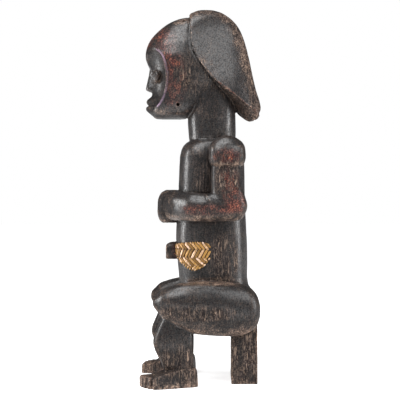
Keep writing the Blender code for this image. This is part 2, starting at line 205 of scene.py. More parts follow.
MOUTH = [
    (356.4, -62.4, -36, 0, 17, 2.2),
    (361, -68, -36, 0, 19.6, 2.2),
    (366.8, -73.4, -36, 0, 20.6, 2.1),
    (369.6, -72.8, -36, 0, 20.6, 2.1),
    (371, -70.2, -35, 0, 19.8, 2.1),
    (372.2, -70.2, -35, 0, 19.6, 2.1),
    (373.8, -71.6, -36, 0, 20.2, 2.1),
    (377.2, -72.8, -36, 0, 19.4, 2.1),
    (383.5, -66.8, -38, 0, 15.5, 2.1),
    (389.4, -63, -40, 0, 10, 2.1),
]
# The helmet of hair, from the crown to the tail: back outline, edge and under side as y, z pairs, then half width.
COIFFURE = [
    (-12.7, 497.5, -15, 493.5, -14, 489, 9),
    (-3, 501, -14.4, 485, -5, 476, 22.5),
    (8, 502, -14, 470, 5, 463, 32.5),
    (20, 501, -12.6, 453, 12, 447, 38),
    (33, 496, -7.6, 439, 18, 434, 41),
    (44.5, 487.5, -1.6, 427.5, 22, 422, 43),
    (53, 477, 7, 415.4, 25, 408, 44),
    (59.5, 462, 17.5, 404, 28, 396, 44),
    (66, 438.5, 28, 395.5, 31, 386, 43),
    (71.6, 413, 40.5, 386.8, 38, 376, 41),
    (76.6, 391, 52, 378.3, 46, 367, 37),
    (81.4, 376, 63.4, 369.5, 54, 358.5, 31),
    (83, 367, 72.4, 364.5, 62.5, 352.4, 24),
    (81.8, 358.6, 75.6, 359.6, 69, 349.4, 17.5),
    (78.4, 352.6, 75.4, 355, 72.6, 349.6, 11),
]
# The sides of the hair lean inwards from the edge to the back by this share of the half width.
COIFFURE_TAPER = 0.5
SHOULDER = [
    (286.6, 17, 50, 54.6, 12.5, 2.4),
    (289.4, 12.5, 55, 54.8, 17, 2.6),
    (295, 10.2, 57.6, 54.8, 19.2, 2.7),
    (306, 9.8, 58.2, 54.6, 19.2, 2.6),
    (314, 11, 57, 53.8, 17.8, 2.5),
    (320.5, 15, 52.8, 52.4, 14, 2.3),
    (325.5, 22, 45.5, 51, 9.5, 2),
    (328, 29, 39, 50, 4, 2),
]
# The arm from the shoulder to the crook: inner point, outer point, middle across the body, half width, squareness.
UPPER_ARM = [
    (14.5, 300, 50.5, 300, 53, 13.4, 2.5),
    (13.2, 285, 51.8, 285, 53.6, 14.4, 2.6),
    (13, 268, 52, 266, 54.8, 15.2, 2.6),
    (13, 256.5, 57, 249, 56.6, 16.4, 2.5),
    (12.6, 253.6, 60, 234, 57.2, 16.8, 2.4),
    (10, 252.3, 53.5, 219.8, 57.4, 16.8, 2.3),
    (3, 251.6, 36, 216.2, 57.4, 16.8, 2.3),
]
# The rest of the arm, level round to the middle of the chest: across, along, height, half thickness, half height.
FOREARM = [
    (55.6, 10, 233.7, 16.4, 17.9),
    (48, -9.5, 234.5, 15.4, 18.6),
    (36, -23, 235.3, 14, 18.8),
    (24, -31.5, 236, 15, 19.6),
    (14, -35.5, 236, 14.2, 19),
    (6, -37, 236, 10.5, 14.5),
    (3, -37, 236, 5, 7),
]
# The block that the two fists hold.
BUNDLE = [
    (213, -51, -28, 0, 11, 2.4),
    (216, -54.5, -26, 0, 14, 2.5),
    (222, -57, -25, 0, 16, 2.6),
    (236, -57.7, -25, 0, 16.6, 2.6),
    (247, -56.2, -25, 0, 16, 2.6),
    (254, -52, -26, 0, 14, 2.5),
    (257.2, -46.5, -28, 0, 11, 2.4),
]
# Sections that stand across Y: y, bottom, top, inner side, outer side, squareness.
NAVEL = [
    (-46.3, 164.2, 181.6, -8, 8, 3),
    (-44.5, 163.8, 184, -8.6, 8.6, 3),
    (-30, 163.4, 187, -9.5, 9.5, 2.6),
    (-22, 163.4, 187, -9.5, 9.5, 2.6),
]
THIGH = [
    (-63.2, 106.6, 111.4, 41, 48, 2),
    (-61.8, 103, 115.4, 36, 54.5, 2.1),
    (-57, 96.5, 120.4, 32.5, 60, 2.1),
    (-50.5, 88.4, 126.4, 29.5, 65, 2.2),
    (-42, 82.5, 130, 27.5, 68.5, 2.3),
    (-30, 75, 133.5, 26, 71, 2.3),
    (-15, 69.5, 136, 25, 73, 2.3),
    (3, 66.6, 137.3, 24, 73, 2.3),
    (24, 65.3, 136.5, 24, 74, 2.3),
    (41, 65, 135, 25, 73.5, 2.3),
    (56, 67, 132.6, 27, 72, 2.3),
    (66, 71.6, 127.6, 30, 70, 2.2),
    (73.5, 79, 118.4, 35, 65, 2.1),
    (77.4, 90, 106, 43, 57, 2),
]
# Level sections again.
SHIN = [
    (12, -43, -7.5, 50, 11.5, 2.6),
    (22, -48.5, -9.6, 50, 12.6, 2.8),
    (30, -51.5, -9.8, 50.2, 14, 3),
    (39.5, -56.5, -9.8, 49.6, 14.8, 3),
    (48, -60.5, -9.6, 49.2, 15.4, 3),
    (57, -62.7, -9.4, 48.8, 15.6, 3),
    (66, -61.6, -9.4, 48.2, 15.4, 3),
    (76, -57.5, -9.6, 47.4, 15, 2.8),
    (96, -49, -11, 46, 14, 2.6),
]
# Along the foot, inner side, outer side, height, corner radius.
FOOT = [
    (11, -10.5, 10.5, 10, 4),
    (9.4, -11.4, 11.4, 23.4, 5),
    (6, -12.6, 12.8, 26, 4),
    (-8, -15.2, 15.2, 26, 4),
    (-22, -16.8, 17.6, 22.4, 4),
    (-36, -17.4, 19.2, 18.4, 3.5),
    (-45, -17.4, 19.6, 16.2, 3),
]
# Each toe from the big one outwards: middle across the foot, tip, half width, height.
TOES = [
    (-12.2, -62, 5.4, 14.5),
    (-3.6, -61.4, 3.9, 15.2),
    (3.4, -59, 3.7, 15.2),
    (10, -54.5, 3.6, 15),
    (16.2, -49, 3.4, 14.6),
]
TOE_OUT = math.radians(10)
ANKLE = (49.5, -17, 0)
# A toe runs back into the foot as far as this. Along it, as shares: place, width, height.
TOE_ROOT = -36
TOE_SHAPE = [(0, 0.62, 0.72), (0.03, 0.82, 0.88), (0.09, 0.94, 0.96), (0.4, 1, 1), (1, 1, 1.04)]
# The patch: turn about the body in degrees, where -90 is the front and 0 the left side, then lower and upper edge.
PATCH = [
    (-79, 171, 180),
    (-70, 166.5, 182),
    (-60, 162, 183.3),
    (-50, 158, 184),
    (-40, 154, 184.6),
    (-31, 151.3, 185),
    (-24, 150.6, 185.3),
    (-16, 153, 185.5),
    (-9, 157, 185.3),
    (-4, 163.5, 184),
    (-1.5, 169.5, 181),
]


def arm(side):
    """The whole arm in one sweep: down from the shoulder, round the elbow and forwards to the fist."""
    rings = []
    for near_y, near_z, far_y, far_z, middle, half_width, squareness in UPPER_ARM:
        near, far = np.array((middle, near_y, near_z), float), np.array((middle, far_y, far_z), float)
        reach = (far - near) / 2
        length = np.linalg.norm(reach)
        rings.append(section((near + far) / 2, (1, 0, 0), reach / length, half_width, length, squareness))
    for i, (x, y, z, half_thickness, half_height) in enumerate(FOREARM):
        before, after = FOREARM[max(i - 1, 0)], FOREARM[min(i + 1, len(FOREARM) - 1)]
        along = np.array((after[0] - before[0], after[1] - before[1], 0.0))
        sideways = np.cross(UP, along / np.linalg.norm(along))
        rings.append(section((x, y, z), sideways, -UP, half_thickness, half_height, 2.3))
    return lofted(mirrored(smooth_rings(rings, 6), side))


def coiffure():
    """The helmet of hair: each section has a rounded back and a hollow under side that lies on the head."""
    rings = []
    for *outline, half_width in COIFFURE:
        back, edge, under = (np.array((0, *outline[i : i + 2]), float) for i in (0, 2, 4))
        across, outward = rounded(np.linspace(0, math.pi, 81), 3.2)
        outer = edge + np.outer(outward, back - edge)
        outer[:, 0] = half_width * (1 - COIFFURE_TAPER * outward) * across
        shares = np.linspace(-0.96, 0.96, 39)
        depth = np.interp(abs(shares), (0, 0.3, 0.6, 1), (1, 0.8, 0.424, 0))
        inner = edge + np.outer(depth, under - edge)
        inner[:, 0] = half_width * shares
        rings.append(np.vstack([outer, inner]))
    return lofted(smooth_rings(rings, 6))


def on_foot(points, side):
    """Turns points of a foot outwards about its ankle."""
    cosine, sine = math.cos(TOE_OUT), math.sin(TOE_OUT)
    turned = points @ np.array(((cosine, sine, 0), (-sine, cosine, 0), (0, 0, 1)))
    return mirrored(turned + ANKLE, side)


def standing_section(along, inner, outer, height, corner):
    """A section across the foot: flat on the floor, with upright sides and rounded upper corners."""
    outline = [(inner, 0), (outer, 0)]
    for x, first in ((outer - corner, 0), (inner + corner, 90)):
        for degrees in range(first, first + 91, 10):
            turn = math.radians(degrees)
            outline.append((x + corner * math.cos(turn), height - corner + corner * math.sin(turn)))
    return np.array([(x, along, z) for x, z in outline], float)


def foot(side):
    """The foot without its toes."""
    rings = [standing_section(*row) for row in FOOT]
    return lofted(on_foot(smooth_rings(rings, 5, tight=True), side))


def toe(side, middle, tip, half_width, height):
    """One toe, rounded at its tip, which runs back into the foot."""
    rings = []
    for back, wide, high in TOE_SHAPE:
        along, half = tip + (TOE_ROOT - tip) * back, half_width * wide
        rings.append(standing_section(along, middle - half, middle + half, height * high, half * 0.6))
    return lofted(on_foot(smooth_rings(rings, 4, tight=True), side))


def post():
    """The broad squared post under the seat. Its front face is cut a little askew."""
    corners = np.array([(-41.4, 44), (41.4, 40.6), (41.4, 75), (-41.4, 75)])
    radius, outline = 2.0, []
    for i, corner in enumerate(corners):
        before, after = corners[i - 1] - corner, corners[(i + 1) % 4] - corner
        before, after = before / np.linalg.norm(before), after / np.linalg.norm(after)
        for t in np.linspace(0, 1, 5):
            outline.append(corner + radius * (before * (1 - t) ** 2 + after * t**2))
    return lofted([[(x, y, z) for x, y in outline] for z in np.linspace(0, 86, 9)])


def ball(centre, radii, turn=None, count=48):
    """An ellipsoid, turned by a 3 x 3 matrix."""
    rings = []
    for latitude in np.linspace(-math.pi / 2 + 0.02, math.pi / 2 - 0.02, count // 2):
        height, radius = math.sin(latitude), math.cos(latitude)
        rings.append(section((0, 0, height), (1, 0, 0), (0, 1, 0), radius, radius, 2, count))
    points, faces = lofted(rings)
    points = points * radii
    if turn is not None:
        points = points @ np.array(turn).T
    return points + np.array(centre), faces


def eye(side):
    """The swell of the eyelid and the ball in it, turned outwards with the cheek."""
    turn = Vector((0.6 * side, -0.8, 0)).to_track_quat("Z", "Y").to_matrix()
    lid = ball((13.2 * side, -60.8, 410), (7.4, 8.6, 3.2), turn)
    return [lid, ball((12.9 * side, -62.4, 410.4), (4.6, 5.4, 3), turn)]


def knee_advance(side, share):
    """How far a section of the leg moves forwards with the knee, in grains. The share is 1 at the knee."""
    return 0 if side > 0 else RIGHT_KNEE_ADVANCE * max(0, min(1, share))


def thigh(side):
    rows = [(y - knee_advance(side, -y / 50), *rest) for y, *rest in THIGH]
    return lying(rows, side=side)


def shin(side):
    rows = []
    for height, front, back, *rest in SHIN:
        shift = knee_advance(side, (height - 20) / 40)
        rows.append((height, front - shift, back - shift, *rest))
    return upright(rows, side=side)


def mesh_from(parts, name):
    """One mesh in metres, in the part's own frame, from several closed shapes in grains."""
    points, faces, start = [], [], 0
    for part_points, part_faces in parts:
        points.append(part_points)
        faces += [tuple(i + start for i in face) for face in part_faces]
        start += len(part_points)
    placed = (np.vstack(points) - (0, SETBACK, 0)) * GRAIN
    mesh = bpy.data.meshes.new(name)
    mesh.from_pydata(placed.tolist(), [], faces)
    bm = bmesh.new()
    bm.from_mesh(mesh)
    bmesh.ops.recalc_face_normals(bm, faces=bm.faces)
    bm.to_mesh(mesh)
    bm.free()
    return mesh


def object_named(name, data):
    made = bpy.data.objects.new(name, data)
    bpy.context.scene.collection.objects.link(made)
    return made


def apply_modifiers(obj):
    """Replaces the object's mesh by what its modifiers make of it."""
    graph = bpy.context.evaluated_depsgraph_get()
    made = bpy.data.meshes.new_from_object(obj.evaluated_get(graph))
    obj.modifiers.clear()
    obj.data = made


def grid_of(mesh):
    """The mesh's points in grains, where the carving's own grid has them."""
    points = np.empty(len(mesh.vertices) * 3)
    mesh.vertices.foreach_get("co", points)
    return points.reshape(-1, 3) / GRAIN + (0, SETBACK, 0)


def drill(centre, axis):
    """A round cutter in grains for a peg hole, which starts clear outside the wood."""
    radius, depth = PEG_HOLE_RADIUS / GRAIN, PEG_HOLE_DEPTH / GRAIN
    turn = np.array(Vector(axis).to_track_quat("Z", "X").to_matrix())
    rings = [section((0, 0, z), (1, 0, 0), (0, 1, 0), radius, radius, 2, 24) for z in (-depth, depth)]
    points, faces = lofted(rings)
    return points @ turn.T + np.array(centre), faces


# The ellipsoid that hollows the left cheek: centre and radii.
CHEEK_HOLLOW = (np.array((40.5, -85, 405.5)), np.array((39, 41.5, 59)))
# The peg holes in the left jaw and beside the crown: centre and axis.
PEG_HOLES = [((29, -30, 371), (1, 0, 0)), ((17, -22, 484), (0.55, -0.2, 0.8))]


def rim_line():
    """Where the hollow of the left cheek meets the egg of the head: up the outer side and in over the brow."""
    rings = upright(SKULL, 6, 360)[0].reshape(-1, 360, 3)
    outer, inner = [], []
    for ring in rings:
        # The last quarter of a ring runs from the middle of the face to the left side.
        front = ring[270:]
        depth = np.linalg.norm((front - CHEEK_HOLLOW[0]) / CHEEK_HOLLOW[1], axis=1) - 1
        for i in np.flatnonzero(np.diff(np.sign(depth))):
            share = depth[i] / (depth[i] - depth[i + 1])
            at = front[i] + (front[i + 1] - front[i]) * share
            (outer if depth[i] < 0 else inner).append(at)
    brow = [at for at in reversed(inner) if at[2] > 432 and at[0] > 20]
    return np.array(outer + brow)


def tube(points, radii, count=16):
    """A round bead along points."""
    along = np.gradient(points, axis=0)
    along /= np.linalg.norm(along, axis=1, keepdims=True)
    rings = []
    for at, direction, radius in zip(points, along, radii):
        side = np.cross(direction, (0, 1, 0))
        side /= np.linalg.norm(side)
        rings.append(section(at, side, np.cross(side, direction), radius, radius, 2, count))
    return lofted(rings)


def rim(side):
    """The raised rim round the face."""
    line = rim_line()
    share = np.linspace(0, 1, len(line))
    return tube(mirrored(line, side), 0.7 + 1.0 * np.sin(math.pi * np.clip(share * 1.15, 0, 1)) ** 0.5)


def hollowed_skull():
    """The egg of the head with the hollow of each cheek and the peg holes cut out, as points and faces in grains."""
    skull = object_named("skull_block", mesh_from([upright(SKULL, 6, 120)], "skull_block"))
    cuts = [ball(CHEEK_HOLLOW[0] * (side, 1, 1), CHEEK_HOLLOW[1], count=96) for side in (1, -1)]
    cuts += [drill(*hole) for hole in PEG_HOLES]
    cutters = [object_named("cutter", mesh_from([cut], "cutter")) for cut in cuts]
    for cutter in cutters:
        cut = skull.modifiers.new("cut", "BOOLEAN")
        cut.operation, cut.solver, cut.object = "DIFFERENCE", "EXACT", cutter
    bpy.context.view_layer.update()
    apply_modifiers(skull)
    points, faces = grid_of(skull.data), [tuple(face.vertices) for face in skull.data.polygons]
    for used in [skull, *cutters]:
        bpy.data.objects.remove(used)
    return points, faces


def carved_masses():
    """Every mass of the carving, each closed in itself and deep in its neighbours."""
    masses = [
        upright(TORSO, 6, 120),
        upright(NECK),
        hollowed_skull(),
        upright(NOSE, 4, 48, tight=True),
        upright(MOUTH, 4, 96, tight=True),
        coiffure(),
        upright(BUNDLE),
        lying(NAVEL, 4, 48, tight=True),
        post(),
    ]
    for side in (1, -1):
        masses += [*eye(side), rim(side)]
        masses += [upright(SHOULDER, side=side), arm(side), thigh(side), shin(side), foot(side)]
        masses += [toe(side, *row) for row in TOES]
    return masses


# Surfaces as arrays


class Surface:
    """A triangle mesh as arrays, with what its smoothing needs."""

    def __init__(self, mesh):
        mesh.calc_loop_triangles()
        self.points = np.empty(len(mesh.vertices) * 3)
        mesh.vertices.foreach_get("co", self.points)
        self.points = self.points.reshape(-1, 3)
        self.faces = np.empty(len(mesh.loop_triangles) * 3, np.int32)
        mesh.loop_triangles.foreach_get("vertices", self.faces)
        self.faces = self.faces.reshape(-1, 3)
        ends = np.sort(np.concatenate([self.faces[:, [0, 1]], self.faces[:, [1, 2]], self.faces[:, [2, 0]]]), axis=1)
        owner = np.tile(np.arange(len(self.faces)), 3)
        order = np.lexsort((ends[:, 1], ends[:, 0]))
        ends, owner = ends[order], owner[order]
        same = np.flatnonzero((ends[1:] == ends[:-1]).all(axis=1))
        self.neighbours = np.stack([owner[same], owner[same + 1]], axis=1)
        self.edges = ends[same]

    def gathered(self, index, values, count):
        return np.stack([np.bincount(index, values[:, i], count) for i in range(values.shape[1])], axis=1)

    def face_normals(self):
        a, b, c = (self.points[self.faces[:, i]] for i in range(3))
        return np.cross(b - a, c - a)

    def normals(self):
        """Unit normals of the points."""
        flat = self.face_normals()
        total = self.gathered(self.faces.ravel(), np.repeat(flat, 3, axis=0), len(self.points))
        return total / (np.linalg.norm(total, axis=1, keepdims=True) + 1e-20)

    def spread(self, values, rounds):
        """Averages values of the points with their neighbours', that many times."""
        values = values.reshape(len(self.points), -1)
        a, b = self.edges[:, 0], self.edges[:, 1]
        degree = np.bincount(self.edges.ravel(), minlength=len(self.points))[:, None] + 1.0
        for _ in range(rounds):
            total = self.gathered(a, values[b], len(values)) + self.gathered(b, values[a], len(values))
            values = (total + values) / degree
        return values if values.shape[1] > 1 else values[:, 0]

    def polish(self, rounds, moves, angle):
        """Evens the normals of faces that meet at less than about this angle, and moves the points to suit."""
        area = np.linalg.norm(self.face_normals(), axis=1)
        normal = self.face_normals() / (area[:, None] + 1e-20)
        a, b = self.neighbours[:, 0], self.neighbours[:, 1]
        for _ in range(rounds):
            turn = np.arccos(np.clip((normal[a] * normal[b]).sum(axis=1), -1, 1))
            weight = np.exp(-((turn / angle) ** 2))[:, None]
            total = normal * area[:, None]
            total += self.gathered(a, normal[b] * weight * area[b, None], len(normal))
            total += self.gathered(b, normal[a] * weight * area[a, None], len(normal))
            normal = total / (np.linalg.norm(total, axis=1, keepdims=True) + 1e-20)
        corners = self.faces.ravel()
        counts = np.bincount(corners, minlength=len(self.points))[:, None] + 1e-20
        for _ in range(moves):
            middle = self.points[self.faces].mean(axis=1)
            full = np.repeat(normal, 3, axis=0)
            reach = np.repeat(middle, 3, axis=0) - self.points[corners]
            step = full * (full * reach).sum(axis=1, keepdims=True)
            self.points += self.gathered(corners, step, len(self.points)) / counts

    def write_to(self, mesh):
        mesh.vertices.foreach_set("co", self.points.ravel())
        mesh.update()


def noise(points, wavelength, seed):
    """Smooth noise from -1 to 1. The wavelength is one number or one for each axis, in grains."""
    at = points / np.asarray(wavelength, float) + 31.7 * seed
    cell = np.floor(at).astype(np.int64)
    part = at - cell
    part = part * part * part * (part * (part * 6 - 15) + 10)
    total = np.zeros(len(points))
    for corner in itertools.product((0, 1), repeat=3):
        key = (cell + corner) @ np.array((73856093, 19349663, 83492791)) + 374761393 * seed
        key = (key ^ (key >> 13)) * 1274126177
        value = ((key ^ (key >> 16)) & 0xFFFF) / 32767.5 - 1
        total += value * np.prod(np.where(corner, part, 1 - part), axis=1)
    return total


def layered(points, wavelength, seed, octaves=3):
    """Noise with finer noise on it, from about -1 to 1."""
    total, size = np.zeros(len(points)), 1.0
    for octave in range(octaves):
        total += size * noise(points, np.asarray(wavelength, float) / 2**octave, seed + octave)
        size /= 2
    return total / 1.6


def ramp(values, low, high):
    """0 at low and 1 at high, with a soft start and end."""
    share = np.clip((values - low) / (high - low), 0, 1)
    return share * share * (3 - 2 * share)


def blob(grid, centre, radii, soft=0.6):
    """1 inside an ellipsoid and 0 outside, over a soft edge that is a share of its size. Both sides of the figure."""
    across = abs(grid[:, 0]) if centre[0] else grid[:, 0]
    at = np.column_stack([across, grid[:, 1], grid[:, 2]])
    distance = np.linalg.norm((at - centre) / np.array(radii, float), axis=1)
    return 1 - ramp(distance, 1 - soft / 2, 1 + soft / 2)


# In metres: how far the end of the hair's tail has rotted back, and how deep the groove under the hair's edge is.
TAIL_ROT = 0.0011
HAIR_GROOVE = 0.0009


def hand_work(surface, cut_depth):
    """The marks of the knife and of age: soft facets, edges that stand out, grooves and the rotten end of the tail."""
    grid = surface.points / GRAIN + (0, SETBACK, 0)
    normal = surface.normals()
    move = cut_depth * (0.9 * noise(grid, (17, 17, 30), 3) + 0.45 * noise(grid, (7, 7, 11), 4))
    move += 0.35 * cut_depth * noise(grid, (2.6, 2.6, 9), 5)
    # Grooves between the masses are cut in deeper, and their edges stand out a little.
    stand = np.clip(bend(surface, 10), -1.2, 0.9)
    features = blob(grid, (12, -70, 395), (24, 22, 45), 0.2)
    move += GRAIN * np.where(stand < 0, 0.9, 0.45) * stand * (1 - 0.7 * features)
    tail = blob(grid, (0, 80, 354), (26, 13, 13), 0.7)
    move -= tail * TAIL_ROT * (1 + layered(grid, (5, 5, 4), 8))
    # The hair is cut in under its edge, so that a thin groove runs along it.
    inside = hair_line() + (-2.2, -0.6, -1.0)
    move -= HAIR_GROOVE * (1 - ramp(distance_to(inside, grid), 0.6, 2.2))
    surface.points += normal * move[:, None]
    surface.points[:, 2] = np.maximum(surface.points[:, 2], 0)


# Marks on the wood, each a number from 0 to 1 at every point


def hair_line():
    """The edge of the hair on the left side, from the crown to the tail."""
    rows = np.array([[(row[6], row[2], row[3])] for row in COIFFURE], float)
    return smooth_rings(rows, 8)[:, 0]


def distance_to(line, grid, within=12):
    """Distance of each point from a line of points, in grains, on both sides of the figure. Far points get within."""
    at = grid.copy()
    at[:, 0] = abs(at[:, 0])
    low, high = line.min(axis=0) - within, line.max(axis=0) + within
    near = np.flatnonzero(((at > low) & (at < high)).all(axis=1))
    distance = np.full(len(grid), float(within))
    for start in range(0, len(near), 4000):
        chosen = near[start : start + 4000]
        gaps = np.linalg.norm(at[chosen][:, None] - line[None], axis=2).min(axis=1)
        distance[chosen] = np.minimum(gaps, within)
    return distance


def shelter(surface, rays=12, reach=0.03, lift=0.0006):
    """How closed in each point is: 0 in the open, 1 deep in a hollow. The reach and the start's lift are in metres."""
    tree = BVHTree.FromPolygons(surface.points.tolist(), surface.faces.tolist())
    normal = surface.normals()
    index = np.arange(rays) + 0.5
    tilt = np.sqrt(index / rays)
    turn = math.pi * (1 + math.sqrt(5)) * index
    local = np.column_stack([tilt * np.cos(turn), tilt * np.sin(turn), np.sqrt(1 - tilt**2) + 0.05])
    helper = np.where(abs(normal[:, [2]]) < 0.9, (0, 0, 1), (1, 0, 0))
    side = np.cross(normal, helper)
    side /= np.linalg.norm(side, axis=1, keepdims=True)
    other = np.cross(normal, side)
    start = surface.points + normal * lift
    hits = np.zeros(len(start))
    for a, b, c in local:
        towards = side * a + other * b + normal * c
        for i, (at, along) in enumerate(zip(start.tolist(), towards.tolist())):
            found = tree.ray_cast(at, along, reach)
            if found[3] is not None:
                hits[i] += 1 - found[3] / reach
    return np.clip(hits / rays * 2, 0, 1)


def bend(surface, rounds):
    """How far each point stands out from its neighbourhood, in grains: more than 0 on an edge, less in a groove."""
    smooth = surface.spread(surface.points, rounds)
    return ((surface.points - smooth) * surface.normals()).sum(axis=1) / GRAIN


# Places on the wood, on both sides of the figure: strength, centre, radii.
POLISHED = [
    (1, (34, 18, 450), (30, 42, 52)),  # sides of the hair
    (1, (35, -24, 458), (18, 26, 24)),  # skull before the hair
    (1, (4, -72, 404), (8, 10, 18)),  # nose
    (-1, (12, -76, 448), (16, 14, 9)),  # brow
    (-1, (10, -68, 376), (18, 16, 14)),  # lips
    (0.8, (26, -26, 364), (26, 32, 9)),  # under side of the jaw
    (0.7, (0, 16, 342), (38, 44, 26)),  # neck
    (1, (0, 0, 316), (60, 40, 14)),  # chest and collar
    (1, (66, 30, 316), (22, 26, 12)),  # shoulder caps
    (0.5, (36, -20, 215), (20, 20, 110)),  # front corners of the torso
    (0.5, (36, 52, 215), (20, 20, 110)),  # back corners of the torso
    (1, (60, -2, 244), (30, 50, 9)),  # tops of the forearms
    (-0.6, (68, -30, 240), (20, 16, 14)),  # wrists
    (-1.4, (44, -54, 244), (40, 20, 26)),  # fists
    (1.2, (60, -5, 121), (30, 62, 18)),  # tops of the thighs
    (0.6, (72, -8, 116), (16, 56, 9)),  # outer sides of the thighs
    (0.8, (70, 46, 108), (20, 20, 18)),  # buttocks
    (1, (40, -38, 66), (34, 28, 24)),  # calves
    (-1.2, (30, -76, 80), (60, 22, 60)),  # fronts of the knees
]
DULLED = [
    (0.7, (36, -6, 412), (20, 26, 26)),  # temples
    (0.8, (45, 20, 262), (16, 34, 26)),  # ribs behind the upper arms
    (0.9, (74, 34, 274), (14, 20, 26)),  # upper arms
    (0.9, (44, 34, 160), (20, 22, 40)),  # flanks
    (0.9, (72, -8, 97), (14, 56, 10)),  # outer sides of the thighs, low down
    (1, (50, -30, 30), (26, 50, 26)),  # ankles and feet
    (1, (30, 60, 40), (60, 30, 50)),  # post
]
# Pigment has two more numbers: the noise at which it starts and that at which it is full.
PIGMENTED = [
    (1.2, (16, -60, 446), (32, 28, 32), -0.8, 0.8),  # forehead
    (0.75, (34, -38, 402), (22, 18, 36), -0.6, 0.9),  # cheeks behind the rim
    (1, (68, 33, 301), (16, 19, 9), -0.9, 0.6),  # shoulder caps
    (1, (72, 44, 242), (14, 13, 12), -0.9, 0.4),  # elbows
    (0.75, (68, 5, 231), (18, 48, 7), -0.9, 0.6),  # forearms
]
# The back outline of the head: heights, and how far back it is there.
HEAD_BACK = ((350, 376, 413, 438, 462, 477, 496, 502), (72, 68, 58, 52, 44, 37, 16, -2))


def marked(grid, places):
    """The sum of the places' blobs, each times its strength."""
    return sum(strength * blob(grid, centre, radii) for strength, centre, radii in places)


def pigment_left(grid, patchy, fine):
    """The red pigment: in patches, along the lower part of the hair's edge and round the navel."""
    red = sum(
        strength * blob(grid, centre, radii) * ramp(patchy + fine, low, high)
        for strength, centre, radii, low, high in PIGMENTED
    )
    streaky = layered(grid, (3, 3, 16), 29)
    red += 0.7 * blob(grid, (70, 36, 264), (14, 12, 24)) * ramp(streaky + 0.5 * fine, -0.3, 0.7)
    red += blob(grid, (0, -33, 175), (13, 7, 13)) * ramp(fine, -0.8, 0.4)
    red += 0.8 * (1 - ramp(distance_to(hair_line()[60:], grid), 0.8, 2.0)) * ramp(fine, -0.4, 0.4)
    return red * (0.55 + 0.45 * ramp(layered(grid, 4.5, 33), -0.5, 0.5))


def wear_and_light_below(surface, grid, patchy, fine, face, outline):
    """Where the finish is rubbed off: edges, the head's outline, the base, the toes and some spots. Under sides are
    also made paler, as painted light from the pale floor below.
    """
    z, downwards = grid[:, 2], -surface.normals()[:, 2]
    worn_and_lit_below = ramp(bend(surface, 12), 0.3, 1.2) * ramp(fine + 0.4 * patchy, -0.9, 0.7) * (1 - 0.8 * face)
    # Painted light: surfaces that face down, on the body and under the hair, are made paler in patches, as if lit by
    # the pale floor below.
    worn_and_lit_below += 0.8 * ramp(downwards, 0.15, 0.8) * ((z > 20) & (z < 300)) * ramp(patchy + fine, -0.9, 0.8)
    worn_and_lit_below += 0.45 * ramp(downwards, 0.1, 0.6) * (z > 345) * (grid[:, 1] > 14) * ramp(fine, -0.7, 0.6)
    worn_and_lit_below += 0.36 * outline * ramp(fine + patchy, -0.6, 0.9)
    worn_and_lit_below += 1.1 * ramp(z, 12, 0) * ramp(fine + patchy, -0.7, 0.6)
    worn_and_lit_below += 1.4 * ramp(-grid[:, 1], 60, 80) * ramp(z, 38, 28) * ramp(fine, -0.8, 0.3)
    # The upper edge of the thighs, the crown's hole and the edge of the jaw.
    worn_and_lit_below += 1.1 * blob(grid, (50, 5, 136.5), (26, 66, 4.5)) * ramp(fine, -0.8, 0.6)
    worn_and_lit_below += 0.9 * blob(grid, (17, -22, 484), (9, 13, 8)) * ramp(fine, -0.6, 0.5)
    worn_and_lit_below += 0.5 * blob(grid, (28, -36, 362), (18, 38, 5)) * ramp(fine + patchy, -0.7, 0.7)
    return worn_and_lit_below


def wood_marks(surface):
    """The masks that the wood's material reads: pigment, wear with painted light on under sides, polish, painted shade
    in the hollows, dullness and the rim of the face with its tint and painted highlight.
    """
    grid = surface.points / GRAIN + (0, SETBACK, 0)
    _, y, z = grid.T
    patchy = layered(grid, 9, 21)
    fine = layered(grid, (3, 3, 4), 25)
    # The rim of the face gets a violet tint of rubbed pigment and a painted highlight, stronger low down.
    rim_tint_and_highlight = (1 - ramp(distance_to(rim_line(), grid), 0.7, 2.1)) * ramp(y, -66, -56)
    rim_tint_and_highlight *= (0.7 + 0.3 * ramp(fine, -0.5, 0.5)) * (0.3 + 0.7 * ramp(z, 455, 425))
    face = blob(grid, (20, -72, 405), (30, 30, 50), 0.3)
    outline = np.maximum(ramp(y - np.interp(z, *HEAD_BACK), -6, 6), ramp(z, 485, 497)) * (z > 352) * (y > -14)
    closed = shelter(surface)

    dull = marked(grid, DULLED) + outline + ramp(closed, 0.3, 0.8)
    streaks = layered(grid, (4.5, 4.5, 30), 41)
    dull = np.clip(dull * (0.3 + 0.7 * ramp(streaks, -0.45, 0.4)) + 0.3 * patchy, 0, 1)
    polish = marked(grid, POLISHED) + 0.3 * face
    return {
        "red": np.clip(pigment_left(grid, patchy, fine) * (1 - face), 0, 1),
        "worn_and_lit_below": np.clip(wear_and_light_below(surface, grid, patchy, fine, face, outline), 0, 1),
        "polish": np.clip(0.3 + 0.7 * polish - 0.6 * dull + 0.2 * patchy, 0, 1),
        # Painted shade: the hollows darken by how closed in they are, less on the face.
        "hollow_shade": closed * (1 - 0.6 * face),
        "dull": dull,
        "rim": rim_tint_and_highlight,
    }


# Materials

# Near black, painted as shade into the hollows.
HOLLOW_SHADE_COLOUR = (0.004, 0.0035, 0.0035, 1)


def add_mask(mesh, name, values):
    """Stores a number for each point, which a material reads by its name."""
    layer = mesh.attributes.new(name, "FLOAT", "POINT")
    layer.data.foreach_set("value", values.astype(np.float32))


def new_group(name, inputs, outputs):
    """A shader node group with these inputs, each with its default, and these outputs, all of them numbers."""
    group = bpy.data.node_groups.new(name, "ShaderNodeTree")
    for label, default in inputs.items():
        group.interface.new_socket(label, in_out="INPUT", socket_type="NodeSocketFloat").default_value = default
    for label in outputs:
        group.interface.new_socket(label, in_out="OUTPUT", socket_type="NodeSocketFloat")
    return group


